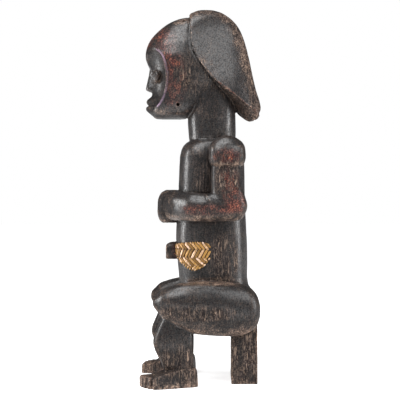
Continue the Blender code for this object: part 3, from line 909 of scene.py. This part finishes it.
def new_material(name):
    """A material with a Principled BSDF that feeds its output: the material, its tree and that shader."""
    material = bpy.data.materials.new(name)
    material.use_nodes = True
    return material, Tree(material.node_tree), material.node_tree.nodes["Principled BSDF"]


class Tree:
    """Places nodes in a node tree, each with its settings and links in one call."""

    def __init__(self, tree):
        self.tree = tree

    def node(self, kind, settings=None, **inputs):
        made = self.tree.nodes.new(kind)
        for key, value in (settings or {}).items():
            setattr(made, key, value)
        for label, value in inputs.items():
            self.feed(made.inputs[label.replace("_", " ")], value)
        return made

    def feed(self, socket, value):
        if isinstance(value, bpy.types.NodeSocket):
            self.tree.links.new(value, socket)
        elif value is not None:
            socket.default_value = value

    def math(self, operation, a, b=None, clamp=False):
        made = self.node("ShaderNodeMath", {"operation": operation, "use_clamp": clamp})
        for socket, value in zip(made.inputs, (a, b)):
            self.feed(socket, value)
        return made.outputs[0]

    def mix(self, share, a, b):
        """Colour a, turned into colour b by the share. A Mix node has its colours in sockets 6 and 7."""
        made = self.node("ShaderNodeMix", {"data_type": "RGBA"})
        for i, value in ((0, share), (6, a), (7, b)):
            self.feed(made.inputs[i], value)
        return made.outputs[2]

    def between(self, value, low, high, to_low=0.0, to_high=1.0):
        """Goes softly from one number to the other while the value goes from low to high."""
        made = self.node("ShaderNodeMapRange", {"interpolation_type": "SMOOTHSTEP"}, Value=value)
        for label, number in (("From Min", low), ("From Max", high), ("To Min", to_low), ("To Max", to_high)):
            self.feed(made.inputs[label], number)
        return made.outputs[0]

    def stretched(self, vector, scale):
        return self.node("ShaderNodeMapping", {}, Vector=vector, Scale=scale).outputs[0]

    def cloud(self, vector, scale, detail=4.0, roughness=0.6):
        made = self.node("ShaderNodeTexNoise", {}, Vector=vector, Scale=scale, Detail=detail, Roughness=roughness)
        return made.outputs[0]

    def attribute(self, name):
        """A mask that the mesh holds."""
        return self.node("ShaderNodeAttribute", {"attribute_name": name}).outputs["Fac"]

    def group(self, tree, **inputs):
        return self.node("ShaderNodeGroup", {"node_tree": tree}, **inputs).outputs

    def sized_place(self, size):
        """The place on the object, in metres times this size."""
        at = self.node("ShaderNodeTexCoord").outputs["Object"]
        return self.node("ShaderNodeVectorMath", {"operation": "SCALE"}, Vector=at, Scale=size).outputs[0]


def speckle_group():
    """Fine irregular spots and soft clouds, for grime and wear on wood and on metal. It is made once."""
    if "speckle" in bpy.data.node_groups:
        return bpy.data.node_groups["speckle"]
    group = new_group("speckle", {"Scale": 1.0, "Amount": 0.5}, ("Spots", "Clouds", "Grit"))
    t = Tree(group)
    given, out = t.node("NodeGroupInput").outputs, t.node("NodeGroupOutput").inputs
    place = t.sized_place(given["Scale"])
    fine = t.cloud(place, 560.0, 3.0, 0.7)
    broad = t.cloud(place, 90.0, 4.0, 0.6)
    edge = t.math("SUBTRACT", 0.74, t.math("MULTIPLY", given["Amount"], 0.3))
    low = t.math("SUBTRACT", edge, 0.07)
    mixed = t.math("ADD", t.math("MULTIPLY", fine, 0.75), t.math("MULTIPLY", broad, 0.25))
    t.feed(out["Spots"], t.between(mixed, low, edge))
    t.feed(out["Clouds"], t.between(broad, 0.3, 0.7))
    t.feed(out["Grit"], fine)
    return group


def grain_group():
    """Upright wood grain: long fibres, short pores, open drying cracks and a fine mottle."""
    group = new_group("upright_grain", {"Scale": 1.0}, ("Fibres", "Pores", "Cracks", "Mottle"))
    t = Tree(group)
    given, out = t.node("NodeGroupInput").outputs, t.node("NodeGroupOutput").inputs
    place = t.sized_place(given["Scale"])
    pores = t.cloud(t.stretched(place, (1, 1, 0.17)), 520.0, 1.0, 0.5)
    cracks = t.cloud(t.stretched(place, (1, 1, 0.03)), 170.0, 2.0, 0.5)
    mottle = t.cloud(t.stretched(place, (1, 1, 0.3)), 540.0, 4.0, 0.85)
    t.feed(out["Fibres"], t.cloud(t.stretched(place, (1, 1, 0.07)), 620.0, 3.0, 0.6))
    t.feed(out["Pores"], t.between(pores, 0.6, 0.68))
    t.feed(out["Cracks"], t.between(t.math("ABSOLUTE", t.math("SUBTRACT", cracks, 0.5)), 0.012, 0.0))
    t.feed(out["Mottle"], t.math("POWER", t.between(mottle, 0.36, 0.7), 3.2))
    return group


def wood_material(sizes, speckle, grain):
    """Blackened wood, worn to its fibres where it is dull and oiled where it is polished, with pigment rubbed in,
    painted shade in the hollows, paler under sides painted as light from below and a painted highlight on the face's
    rim.
    """
    material, t, shader = new_material("dark_wood")
    mark = {name: t.attribute(name) for name in ("red", "worn_and_lit_below", "polish", "hollow_shade", "dull", "rim")}
    spots = t.group(speckle, Scale=1.0, Amount=0.5)
    flecks = t.group(speckle, Scale=0.85, Amount=0.46)
    fibre = t.group(grain, Scale=1.0)

    base = t.mix(t.between(fibre["Fibres"], 0.45, 0.75), (*sizes.wood_dark, 1), (*sizes.wood_brown, 1))
    # The worn mask also carries the painted light on the under sides, so paler wood shows there too.
    shown = t.math("ADD", mark["dull"], t.math("MULTIPLY", mark["worn_and_lit_below"], 0.7))
    shown = t.math("MULTIPLY", t.math("ADD", shown, 0.2), fibre["Mottle"], True)
    base = t.mix(t.math("MULTIPLY", mark["dull"], 0.8), base, (*sizes.wood_brown, 1))
    base = t.mix(shown, base, (*sizes.worn_wood, 1))
    streaks = t.math("MULTIPLY", t.math("MULTIPLY", mark["dull"], 0.4), t.between(fibre["Fibres"], 0.5, 0.68))
    base = t.mix(streaks, base, (*sizes.worn_wood, 1))
    # Pale flecks of bare wood are thick where the finish is dull and rare where it is polished.
    bare = t.math("ADD", t.math("MULTIPLY", mark["dull"], 0.2), t.math("MULTIPLY", mark["worn_and_lit_below"], 0.8))
    bare = t.math("MULTIPLY", t.math("ADD", bare, 0.08), flecks["Spots"], True)
    worn_and_lit_below = t.math("MULTIPLY", t.math("MULTIPLY", mark["worn_and_lit_below"], 0.8), t.between(fibre["Fibres"], 0.35, 0.7), True)
    base = t.mix(worn_and_lit_below, base, (*sizes.edge_wood, 1))
    ticks = t.math("MULTIPLY", fibre["Pores"], t.math("MULTIPLY", mark["dull"], 0.6), True)
    base = t.mix(t.math("MAXIMUM", bare, ticks), base, (*sizes.bare_wood, 1))
    red = t.math("MULTIPLY", mark["red"], t.between(flecks["Grit"], 0.38, 0.57), True)
    base = t.mix(red, base, (*sizes.pigment, 1))
    bright = t.math("MULTIPLY", t.math("MULTIPLY", mark["red"], 0.8), spots["Spots"], True)
    base = t.mix(bright, base, (*sizes.fresh_pigment, 1))
    # Painted highlight: the rim of the face is turned pale violet, partly a tint of rubbed pigment.
    base = t.mix(mark["rim"], base, (*sizes.rim, 1))
    # Painted shade: hollows are darkened towards near black by how closed in they are.
    base = t.mix(t.math("MULTIPLY", mark["hollow_shade"], 0.8, True), base, HOLLOW_SHADE_COLOUR)
    t.feed(shader.inputs["Base Color"], base)

    # The polish is a thin coat of old oil, broken up by the grain.
    shader.inputs["Specular IOR Level"].default_value = 0.16
    shader.inputs["Coat IOR"].default_value = sizes.coat_ior
    shader.inputs["Coat Roughness"].default_value = sizes.coat_roughness
    coat = t.math("MULTIPLY", mark["polish"], t.between(spots["Grit"], 0.4, 0.57, 0.3, 1.25), True)
    t.feed(shader.inputs["Coat Weight"], coat)
    rough = t.between(mark["polish"], 0.0, 1.0, 0.5, 0.35)
    rough = t.math("ADD", rough, t.math("MULTIPLY", t.math("SUBTRACT", spots["Clouds"], 0.5), 0.14))
    rough = t.math("ADD", rough, t.math("MULTIPLY", t.math("ADD", mark["red"], mark["worn_and_lit_below"]), 0.12), True)
    rough = t.math("SUBTRACT", rough, t.math("MULTIPLY", mark["rim"], 0.15), True)
    t.feed(shader.inputs["Roughness"], rough)

    height = t.math("MULTIPLY", fibre["Fibres"], 0.4)
    grit = t.math("MULTIPLY", spots["Grit"], t.between(mark["polish"], 0.0, 1.0, 1.0, 0.3))
    height = t.math("ADD", height, grit)
    height = t.math("SUBTRACT", height, t.math("MULTIPLY", fibre["Pores"], 0.4))
    height = t.math("SUBTRACT", height, t.math("MULTIPLY", fibre["Cracks"], t.math("MULTIPLY", mark["dull"], 1.2)))
    bump = t.node("ShaderNodeBump", {}, Strength=0.85, Distance=sizes.grain_depth, Height=height)
    t.feed(shader.inputs["Normal"], bump.outputs[0])
    return material


def brass_material(sizes, speckle):
    """Brass strip, rubbed bright on some strands and tarnished brown on others and next to the leaf."""
    material, t, shader = new_material("plaited_brass")
    shader.inputs["Metallic"].default_value = 0.6
    low, tone = t.attribute("low"), t.attribute("tone")
    spots = t.group(speckle, Scale=0.7, Amount=0.3)
    rubbed = t.math("MULTIPLY", t.between(spots["Grit"], 0.38, 0.6), t.between(tone, 0.2, 1.0), True)
    colour = t.mix(rubbed, (*sizes.brass, 1), (*sizes.pale_brass, 1))
    colour = t.mix(t.between(tone, 0.35, 0.0, 0.0, 0.6), colour, (*sizes.tarnish, 1))
    colour = t.mix(t.math("MAXIMUM", low, spots["Spots"]), colour, (*sizes.tarnish, 1))
    t.feed(shader.inputs["Base Color"], colour)
    t.feed(shader.inputs["Roughness"], t.between(spots["Clouds"], 0.0, 1.0, 0.28, 0.5))
    bump = t.node("ShaderNodeBump", {}, Strength=0.4, Distance=0.0003, Height=spots["Clouds"])
    t.feed(shader.inputs["Normal"], bump.outputs[0])
    return material


def floor_material(stage):
    """A matt pale floor with a little light of its own. The gloss of the wood mirrors it darker than it is."""
    material, t, shader = new_material("pale_floor")
    shader.inputs["Roughness"].default_value = 0.9
    shader.inputs["Specular IOR Level"].default_value = 0.2
    shader.inputs["Emission Strength"].default_value = stage.glow
    mirrored = t.node("ShaderNodeLightPath").outputs["Is Glossy Ray"]
    share = stage.mirrored_floor
    dimmed = tuple(share * value for value in stage.floor)
    t.feed(shader.inputs["Base Color"], t.mix(mirrored, (*stage.floor, 1), (*dimmed, 1)))
    t.feed(shader.inputs["Emission Color"], t.mix(mirrored, (1, 1, 1, 1), (share, share, share, 1)))
    return material


# The plaited patch

# A height in the middle of the patch, and how far its strands may start from its front tip, in grains.
PATCH_MIDDLE = 168.0
PATCH_REACH = 66
# The bands of strands from the bottom up: lower and upper end, which way they lean and how far.
BANDS = [(147.5, 157.5, 1, 0.9), (154.5, 168.5, -1, 0.95), (165.5, 179.5, 1, 0.6), (177.5, 187.5, -1, 0.8)]
# Strands reach this far over the patch's upper edge, and the beads of the border stand this far apart.
OVER_EDGE = 2.2
BEAD_PITCH = 3.2


def torso_point(turn, height):
    """A point of the torso's surface at a turn about its axis and a height, in grains."""
    rows = np.array(TORSO, float)
    front, back, half_width, squareness = (np.interp(height, rows[:, 0], rows[:, i]) for i in (1, 2, 4, 5))
    cosine, sine = rounded(np.asarray(turn), squareness)
    return np.array((half_width * cosine, (front + back) / 2 + (back - front) / 2 * sine, height))


def patch_place(along, height, lift):
    """A point over the belly. along is the distance from the patch's front tip round to the left, in grains."""
    turns = np.radians(np.linspace(-84, 12, 97))
    ring = np.array([torso_point(turn, PATCH_MIDDLE) for turn in turns])
    distance = np.concatenate([[0], np.cumsum(np.linalg.norm(np.diff(ring, axis=0), axis=1))])
    turn = np.interp(along, distance, turns)
    at = torso_point(turn, height)
    around = torso_point(turn + 0.02, height) - torso_point(turn - 0.02, height)
    outward = np.cross(around, UP)
    return at + outward / np.linalg.norm(outward) * lift, turn


def patch_edges(along):
    """Lower and upper edge of the patch at a distance from its front tip."""
    rows = np.array(PATCH, float)
    turn = math.degrees(patch_place(along, PATCH_MIDDLE, 0)[1])
    if not rows[0, 0] <= turn <= rows[-1, 0]:
        return None
    return np.interp(turn, rows[:, 0], rows[:, 1]), np.interp(turn, rows[:, 0], rows[:, 2])


def strand(points, width, thickness):
    """An oval strand through points as (along, height, lift), its ends drawn in. Points and faces."""
    rings = []
    count = len(points)
    for i, (along, height, lift) in enumerate(points):
        before, after = points[max(i - 1, 0)], points[min(i + 1, count - 1)]
        direction = np.array((after[0] - before[0], after[1] - before[1]))
        direction /= np.linalg.norm(direction) + 1e-9
        end = min(i, count - 1 - i)
        size = (0.45, 0.85, 1.0)[min(end, 2)]
        ring = []
        for turn in np.linspace(0, 2 * math.pi, 10, endpoint=False):
            side, rise = math.cos(turn) * width / 2 * size, math.sin(turn) * thickness / 2 * size
            ring.append(patch_place(along - direction[1] * side, height + direction[0] * side, lift + rise)[0])
        rings.append(ring)
    return lofted(rings)


def leaf():
    """The thin sheet under the plait."""
    rings = []
    for along in np.linspace(0, 60, 90):
        edges = patch_edges(along)
        if edges is None:
            continue
        heights = np.linspace(edges[0] + 0.6, edges[1] - 0.6, 24)
        lower = [patch_place(along, height, 0.5)[0] for height in heights]
        upper = [patch_place(along, height, 1.1)[0] for height in heights[::-1]]
        rings.append(lower + upper)
    return lofted(rings)


def plaited_strands(width, pitch):
    """Bands of short slanting strands, each band leaning the other way, so that they meet in chevrons."""
    made = []
    for number, (low, high, lean, slant) in enumerate(BANDS):
        # Each band starts a little further on, so that its strands meet those of the band below.
        start = -8.0 + 1.3 * number
        while start < PATCH_REACH:
            points = []
            for share in np.linspace(0, 1, 11):
                height = low + (high - low) * share
                along = start + lean * slant * (height - (low + high) / 2)
                edges = patch_edges(along)
                if edges is None or not edges[0] <= height <= edges[1] + OVER_EDGE:
                    continue
                lift = 1.25 + 0.95 * math.sin(math.pi * share)
                points.append((along, height, lift))
            if len(points) >= 4:
                made.append(strand(points, width, 1.5))
            start += pitch
    # A border of small beads follows the outline.
    for low in (True, False):
        along = 0.0
        while along < PATCH_REACH:
            edges = patch_edges(along)
            if edges is not None:
                height, lean = (edges[0] + 0.8, 0.9) if low else (edges[1] + 1.4, -0.9)
                steps = np.linspace(-1.6, 1.6, 5)
                made.append(strand([(along + lean * step, height + step, 1.9) for step in steps], 2.3, 1.7))
            along += BEAD_PITCH
    return made


def depth_in_plait(mesh):
    """1 at the points next to the leaf, which stay dark with tarnish, and 0 at the tops of the strands."""
    grid = grid_of(mesh)
    rows = np.array(TORSO, float)
    front, back, half, square = (np.interp(grid[:, 2], rows[:, 0], rows[:, i]) for i in (1, 2, 4, 5))
    across = abs(grid[:, 0]) / half
    along = abs(grid[:, 1] - (front + back) / 2) / ((back - front) / 2)
    out = (across**square + along**square) ** (1 / square) - 1
    belly_radius = 36
    return 1 - ramp(out * belly_radius, 1.0, 2.3)


# Operators


class FigureSettings(bpy.types.PropertyGroup):
    voxel: FloatProperty(
        name="Sculpting grid",
        description="Cell of the grid in which the masses are joined",
        default=0.00105,
        unit="LENGTH",
    )
    triangles: IntProperty(name="Triangles", description="Most triangles of the carved figure", default=190000)
    cut_depth: FloatProperty(
        name="Knife marks",
        description="Depth of the uneven hand work",
        default=0.00022,
        precision=5,
        unit="LENGTH",
    )
    grain_depth: FloatProperty(
        name="Grain depth", description="Depth of the open grain", default=0.0006, precision=5, unit="LENGTH"
    )
    wood_dark: FloatVectorProperty(
        name="Dark wood",
        description="Oiled, blackened wood",
        default=(0.006, 0.006, 0.0068),
        subtype="COLOR",
        min=0,
        max=1,
    )
    wood_brown: FloatVectorProperty(
        name="Brown fibres",
        description="Fibres that show through the black",
        default=(0.014, 0.0082, 0.0074),
        subtype="COLOR",
        min=0,
        max=1,
    )
    worn_wood: FloatVectorProperty(
        name="Worn wood",
        description="Pale fibres where the black has worn thin",
        default=(0.15, 0.115, 0.1),
        subtype="COLOR",
        min=0,
        max=1,
    )
    edge_wood: FloatVectorProperty(
        name="Rubbed edges",
        description="Brown wood on rubbed edges",
        default=(0.25, 0.16, 0.118),
        subtype="COLOR",
        min=0,
        max=1,
    )
    bare_wood: FloatVectorProperty(
        name="Bare flecks",
        description="Pale flecks where the finish has gone",
        default=(0.4, 0.28, 0.205),
        subtype="COLOR",
        min=0,
        max=1,
    )
    pigment: FloatVectorProperty(
        name="Old pigment",
        description="Dark red pigment rubbed into the wood",
        default=(0.062, 0.0105, 0.0095),
        subtype="COLOR",
        min=0,
        max=1,
    )
    fresh_pigment: FloatVectorProperty(
        name="Bright pigment",
        description="Orange red flecks of pigment",
        default=(0.36, 0.11, 0.06),
        subtype="COLOR",
        min=0,
        max=1,
    )
    # The rim's pale violet is partly rubbed pigment and partly a painted highlight.
    rim: FloatVectorProperty(
        name="Face rim",
        description="Rubbed, faintly violet rim of the face",
        default=(0.26, 0.17, 0.25),
        subtype="COLOR",
        min=0,
        max=1,
    )
    coat_ior: FloatProperty(name="Coat IOR", description="Refraction of the oily polish", default=1.64, min=1, max=2)
    coat_roughness: FloatProperty(
        name="Coat roughness", description="Roughness of the oily polish", default=0.29, min=0, max=1
    )


class PatchSettings(bpy.types.PropertyGroup):
    strand_width: FloatProperty(name="Strand width", description="Width of one strand in grains", default=3.3)
    strand_pitch: FloatProperty(name="Strand pitch", description="From one strand to the next in grains", default=4.7)
    brass: FloatVectorProperty(
        name="Brass", description="Plain brass", default=(0.45, 0.24, 0.06), subtype="COLOR", min=0, max=1
    )
    pale_brass: FloatVectorProperty(
        name="Pale brass",
        description="Brass where it is rubbed bright",
        default=(1.0, 0.72, 0.56),
        subtype="COLOR",
        min=0,
        max=1,
    )
    tarnish: FloatVectorProperty(
        name="Tarnish",
        description="Brown tarnish between the strands",
        default=(0.07, 0.035, 0.018),
        subtype="COLOR",
        min=0,
        max=1,
    )


class StageSettings(bpy.types.PropertyGroup):
    floor: FloatVectorProperty(
        name="Floor", description="Pale floor", default=(0.9, 0.9, 0.9), subtype="COLOR", min=0, max=1
    )
    surround: FloatProperty(name="Surround", description="Brightness of the white surround", default=1.0)
    glow: FloatProperty(name="Floor glow", description="Light that the floor gives off", default=0.62, min=0)
    mirrored_floor: FloatProperty(
        name="Mirrored floor", description="Share of the floor's brightness in the gloss", default=0.6, min=0
    )
    fill: FloatProperty(name="Fill", description="Strength of the room's even light", default=0.5, min=0)
    mirrored_fill: FloatProperty(
        name="Mirrored fill",
        description="Brightness of the room in the gloss of the wood",
        default=0.14,
        min=0,
    )
    key: FloatProperty(
        name="Key light",
        description="Power of the large soft light behind and above the camera's right",
        default=12,
        unit="POWER",
    )
    left: FloatProperty(
        name="Left light",
        description="Power of the soft light above the camera's left",
        default=15,
        unit="POWER",
    )
    top: FloatProperty(name="Top light", description="Power of the light overhead", default=9, unit="POWER")
    front: FloatProperty(
        name="Front light", description="Power of the strip light before the figure", default=14, unit="POWER"
    )
    back: FloatProperty(
        name="Back light", description="Power of the strip light behind the figure", default=11, unit="POWER"
    )


class GUARDIAN_OT_carve_figure(bpy.types.Operator):
    """Join the carved masses, work their surface by hand and finish the wood"""

    bl_idname = "guardian.carve_figure"
    bl_label = "Carve figure"

    def execute(self, context):
        sizes = context.scene.guardian_figure
        figure = object_named("figure_carving", mesh_from(carved_masses(), "figure_carving"))
        remesh = figure.modifiers.new("join", "REMESH")
        remesh.mode, remesh.voxel_size, remesh.adaptivity = "VOXEL", sizes.voxel, 0
        context.view_layer.update()
        apply_modifiers(figure)
        surface = Surface(figure.data)
        surface.polish(rounds=5, moves=6, angle=math.radians(25))
        hand_work(surface, sizes.cut_depth)
        surface.write_to(figure.data)
        if len(surface.faces) > sizes.triangles:
            thin = figure.modifiers.new("thin", "DECIMATE")
            thin.ratio = sizes.triangles / len(surface.faces)
            context.view_layer.update()
            apply_modifiers(figure)
        for name, values in wood_marks(Surface(figure.data)).items():
            add_mask(figure.data, name, values)
        figure.data.shade_smooth()
        figure.data.materials.clear()
        figure.data.materials.append(wood_material(sizes, speckle_group(), grain_group()))
        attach(figure, "root")
        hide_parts("carved_figure")
        return {"FINISHED"}


class GUARDIAN_OT_plait_patch(bpy.types.Operator):
    """Lay the brass patch on the left flank as a plait of short strands over a thin leaf"""

    bl_idname = "guardian.plait_patch"
    bl_label = "Plait patch"

    def execute(self, context):
        sizes = context.scene.guardian_patch
        parts = [leaf(), *plaited_strands(sizes.strand_width, sizes.strand_pitch)]
        patch = object_named("brass_plait", mesh_from(parts, "brass_plait"))
        add_mask(patch.data, "low", depth_in_plait(patch.data))
        # Each strand has its own tone, from tarnished to rubbed bright.
        tones = [np.full(len(points), (7 * i * i + 3 * i) % 11 / 10) for i, (points, _) in enumerate(parts)]
        add_mask(patch.data, "tone", np.concatenate(tones))
        patch.data.shade_smooth()
        patch.data.materials.append(brass_material(sizes, speckle_group()))
        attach(patch, "root")
        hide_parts("brass_patch")
        return {"FINISHED"}


# The view in the photograph: its width in pixels, a pixel's size at the figure, and where the eye is.
PHOTO_WIDTH = 400
PHOTO_PIXEL = 1.364 * GRAIN
EYE_DISTANCE = 948 * PHOTO_PIXEL
EYE_HEIGHT = 178.6 * PHOTO_PIXEL
EYE_TURN = math.radians(88.5)


def area_light(name, place, size, power):
    """A soft white light that is aimed at the middle of the figure."""
    light = bpy.data.lights.new(name, "AREA")
    light.shape, (light.size, light.size_y), light.energy = "RECTANGLE", size, power
    made = object_named(name, light)
    made.location = place
    made.rotation_euler = (Vector((0, 0, HEIGHT / 2)) - made.location).to_track_quat("-Z", "Y").to_euler()


class GUARDIAN_OT_set_stage(bpy.types.Operator):
    """Put the figure on a pale floor under soft lights, seen as in the photograph"""

    bl_idname = "guardian.set_stage"
    bl_label = "Set stage"

    def execute(self, context):
        stage = context.scene.guardian_stage
        bm = bmesh.new()
        bmesh.ops.create_grid(bm, x_segments=1, y_segments=1, size=8)
        mesh = bpy.data.meshes.new("floor")
        bm.to_mesh(mesh)
        bm.free()
        floor = object_named("floor", mesh)
        mesh.materials.append(floor_material(stage))

        world = bpy.data.worlds.new("pale_room")
        world.use_nodes = True
        t = Tree(world.node_tree)
        path = t.node("ShaderNodeLightPath").outputs
        # The camera sees a white surround, and the gloss of the wood mirrors a darker room than the one that lights it.
        less = t.math("MULTIPLY", path["Is Glossy Ray"], stage.fill - stage.mirrored_fill)
        indoors = t.math("SUBTRACT", stage.fill, less)
        dimmed = t.math("MAXIMUM", t.math("MULTIPLY", path["Is Camera Ray"], stage.surround), indoors)
        background = world.node_tree.nodes["Background"]
        background.inputs["Color"].default_value = (1, 1, 1, 1)
        t.feed(background.inputs["Strength"], dimmed)
        context.scene.world = world

        area_light("key_light", (1.1, 0.77, 1.25), (1.2, 1.2), stage.key)
        area_light("left_light", (0.85, -0.7, 1.4), (1.0, 1.0), stage.left)
        area_light("top_light", (0.1, -0.2, 1.75), (0.8, 0.8), stage.top)
        area_light("front_light", (0.0, -1.4, 0.35), (0.35, 1.0), stage.front)
        area_light("back_light", (0.36, 1.35, 0.35), (0.4, 1.0), stage.back)

        camera = bpy.data.cameras.new("photo_view")
        camera.sensor_width = 36
        camera.lens = camera.sensor_width * EYE_DISTANCE / (PHOTO_WIDTH * PHOTO_PIXEL)
        seen_from = object_named("photo_view", camera)
        away = Vector((math.sin(EYE_TURN), -math.cos(EYE_TURN), 0))
        seen_from.location = away * EYE_DISTANCE + Vector((0, -SETBACK * GRAIN, EYE_HEIGHT))
        seen_from.rotation_euler = (-away).to_track_quat("-Z", "Y").to_euler()
        context.scene.camera = seen_from
        context.scene.view_settings.view_transform = "Standard"
        return {"FINISHED"}


class GUARDIAN_PT_sidebar(bpy.types.Panel):
    """Lists the figure's operators and their settings"""

    bl_idname = "GUARDIAN_PT_sidebar"
    bl_label = "Seated guardian figure"
    bl_space_type = "VIEW_3D"
    bl_region_type = "UI"
    bl_category = "Guardian"

    def draw(self, context):
        scene = context.scene
        for operator, settings in (
            (GUARDIAN_OT_carve_figure, scene.guardian_figure),
            (GUARDIAN_OT_plait_patch, scene.guardian_patch),
            (GUARDIAN_OT_set_stage, scene.guardian_stage),
        ):
            box = self.layout.box()
            for name in settings.bl_rna.properties.keys():
                if name not in ("rna_type", "name"):
                    box.prop(settings, name)
            box.operator(operator.bl_idname)


CLASSES = (
    FigureSettings,
    PatchSettings,
    StageSettings,
    GUARDIAN_OT_carve_figure,
    GUARDIAN_OT_plait_patch,
    GUARDIAN_OT_set_stage,
    GUARDIAN_PT_sidebar,
)


def register():
    for each in CLASSES:
        bpy.utils.register_class(each)
    bpy.types.Scene.guardian_figure = PointerProperty(type=FigureSettings)
    bpy.types.Scene.guardian_patch = PointerProperty(type=PatchSettings)
    bpy.types.Scene.guardian_stage = PointerProperty(type=StageSettings)


def unregister():
    del bpy.types.Scene.guardian_figure
    del bpy.types.Scene.guardian_patch
    del bpy.types.Scene.guardian_stage
    for each in reversed(CLASSES):
        bpy.utils.unregister_class(each)


def main():
    register()
    bpy.ops.guardian.carve_figure()
    bpy.ops.guardian.plait_patch()
    bpy.ops.guardian.set_stage()


if __name__ == "__main__":
    main()
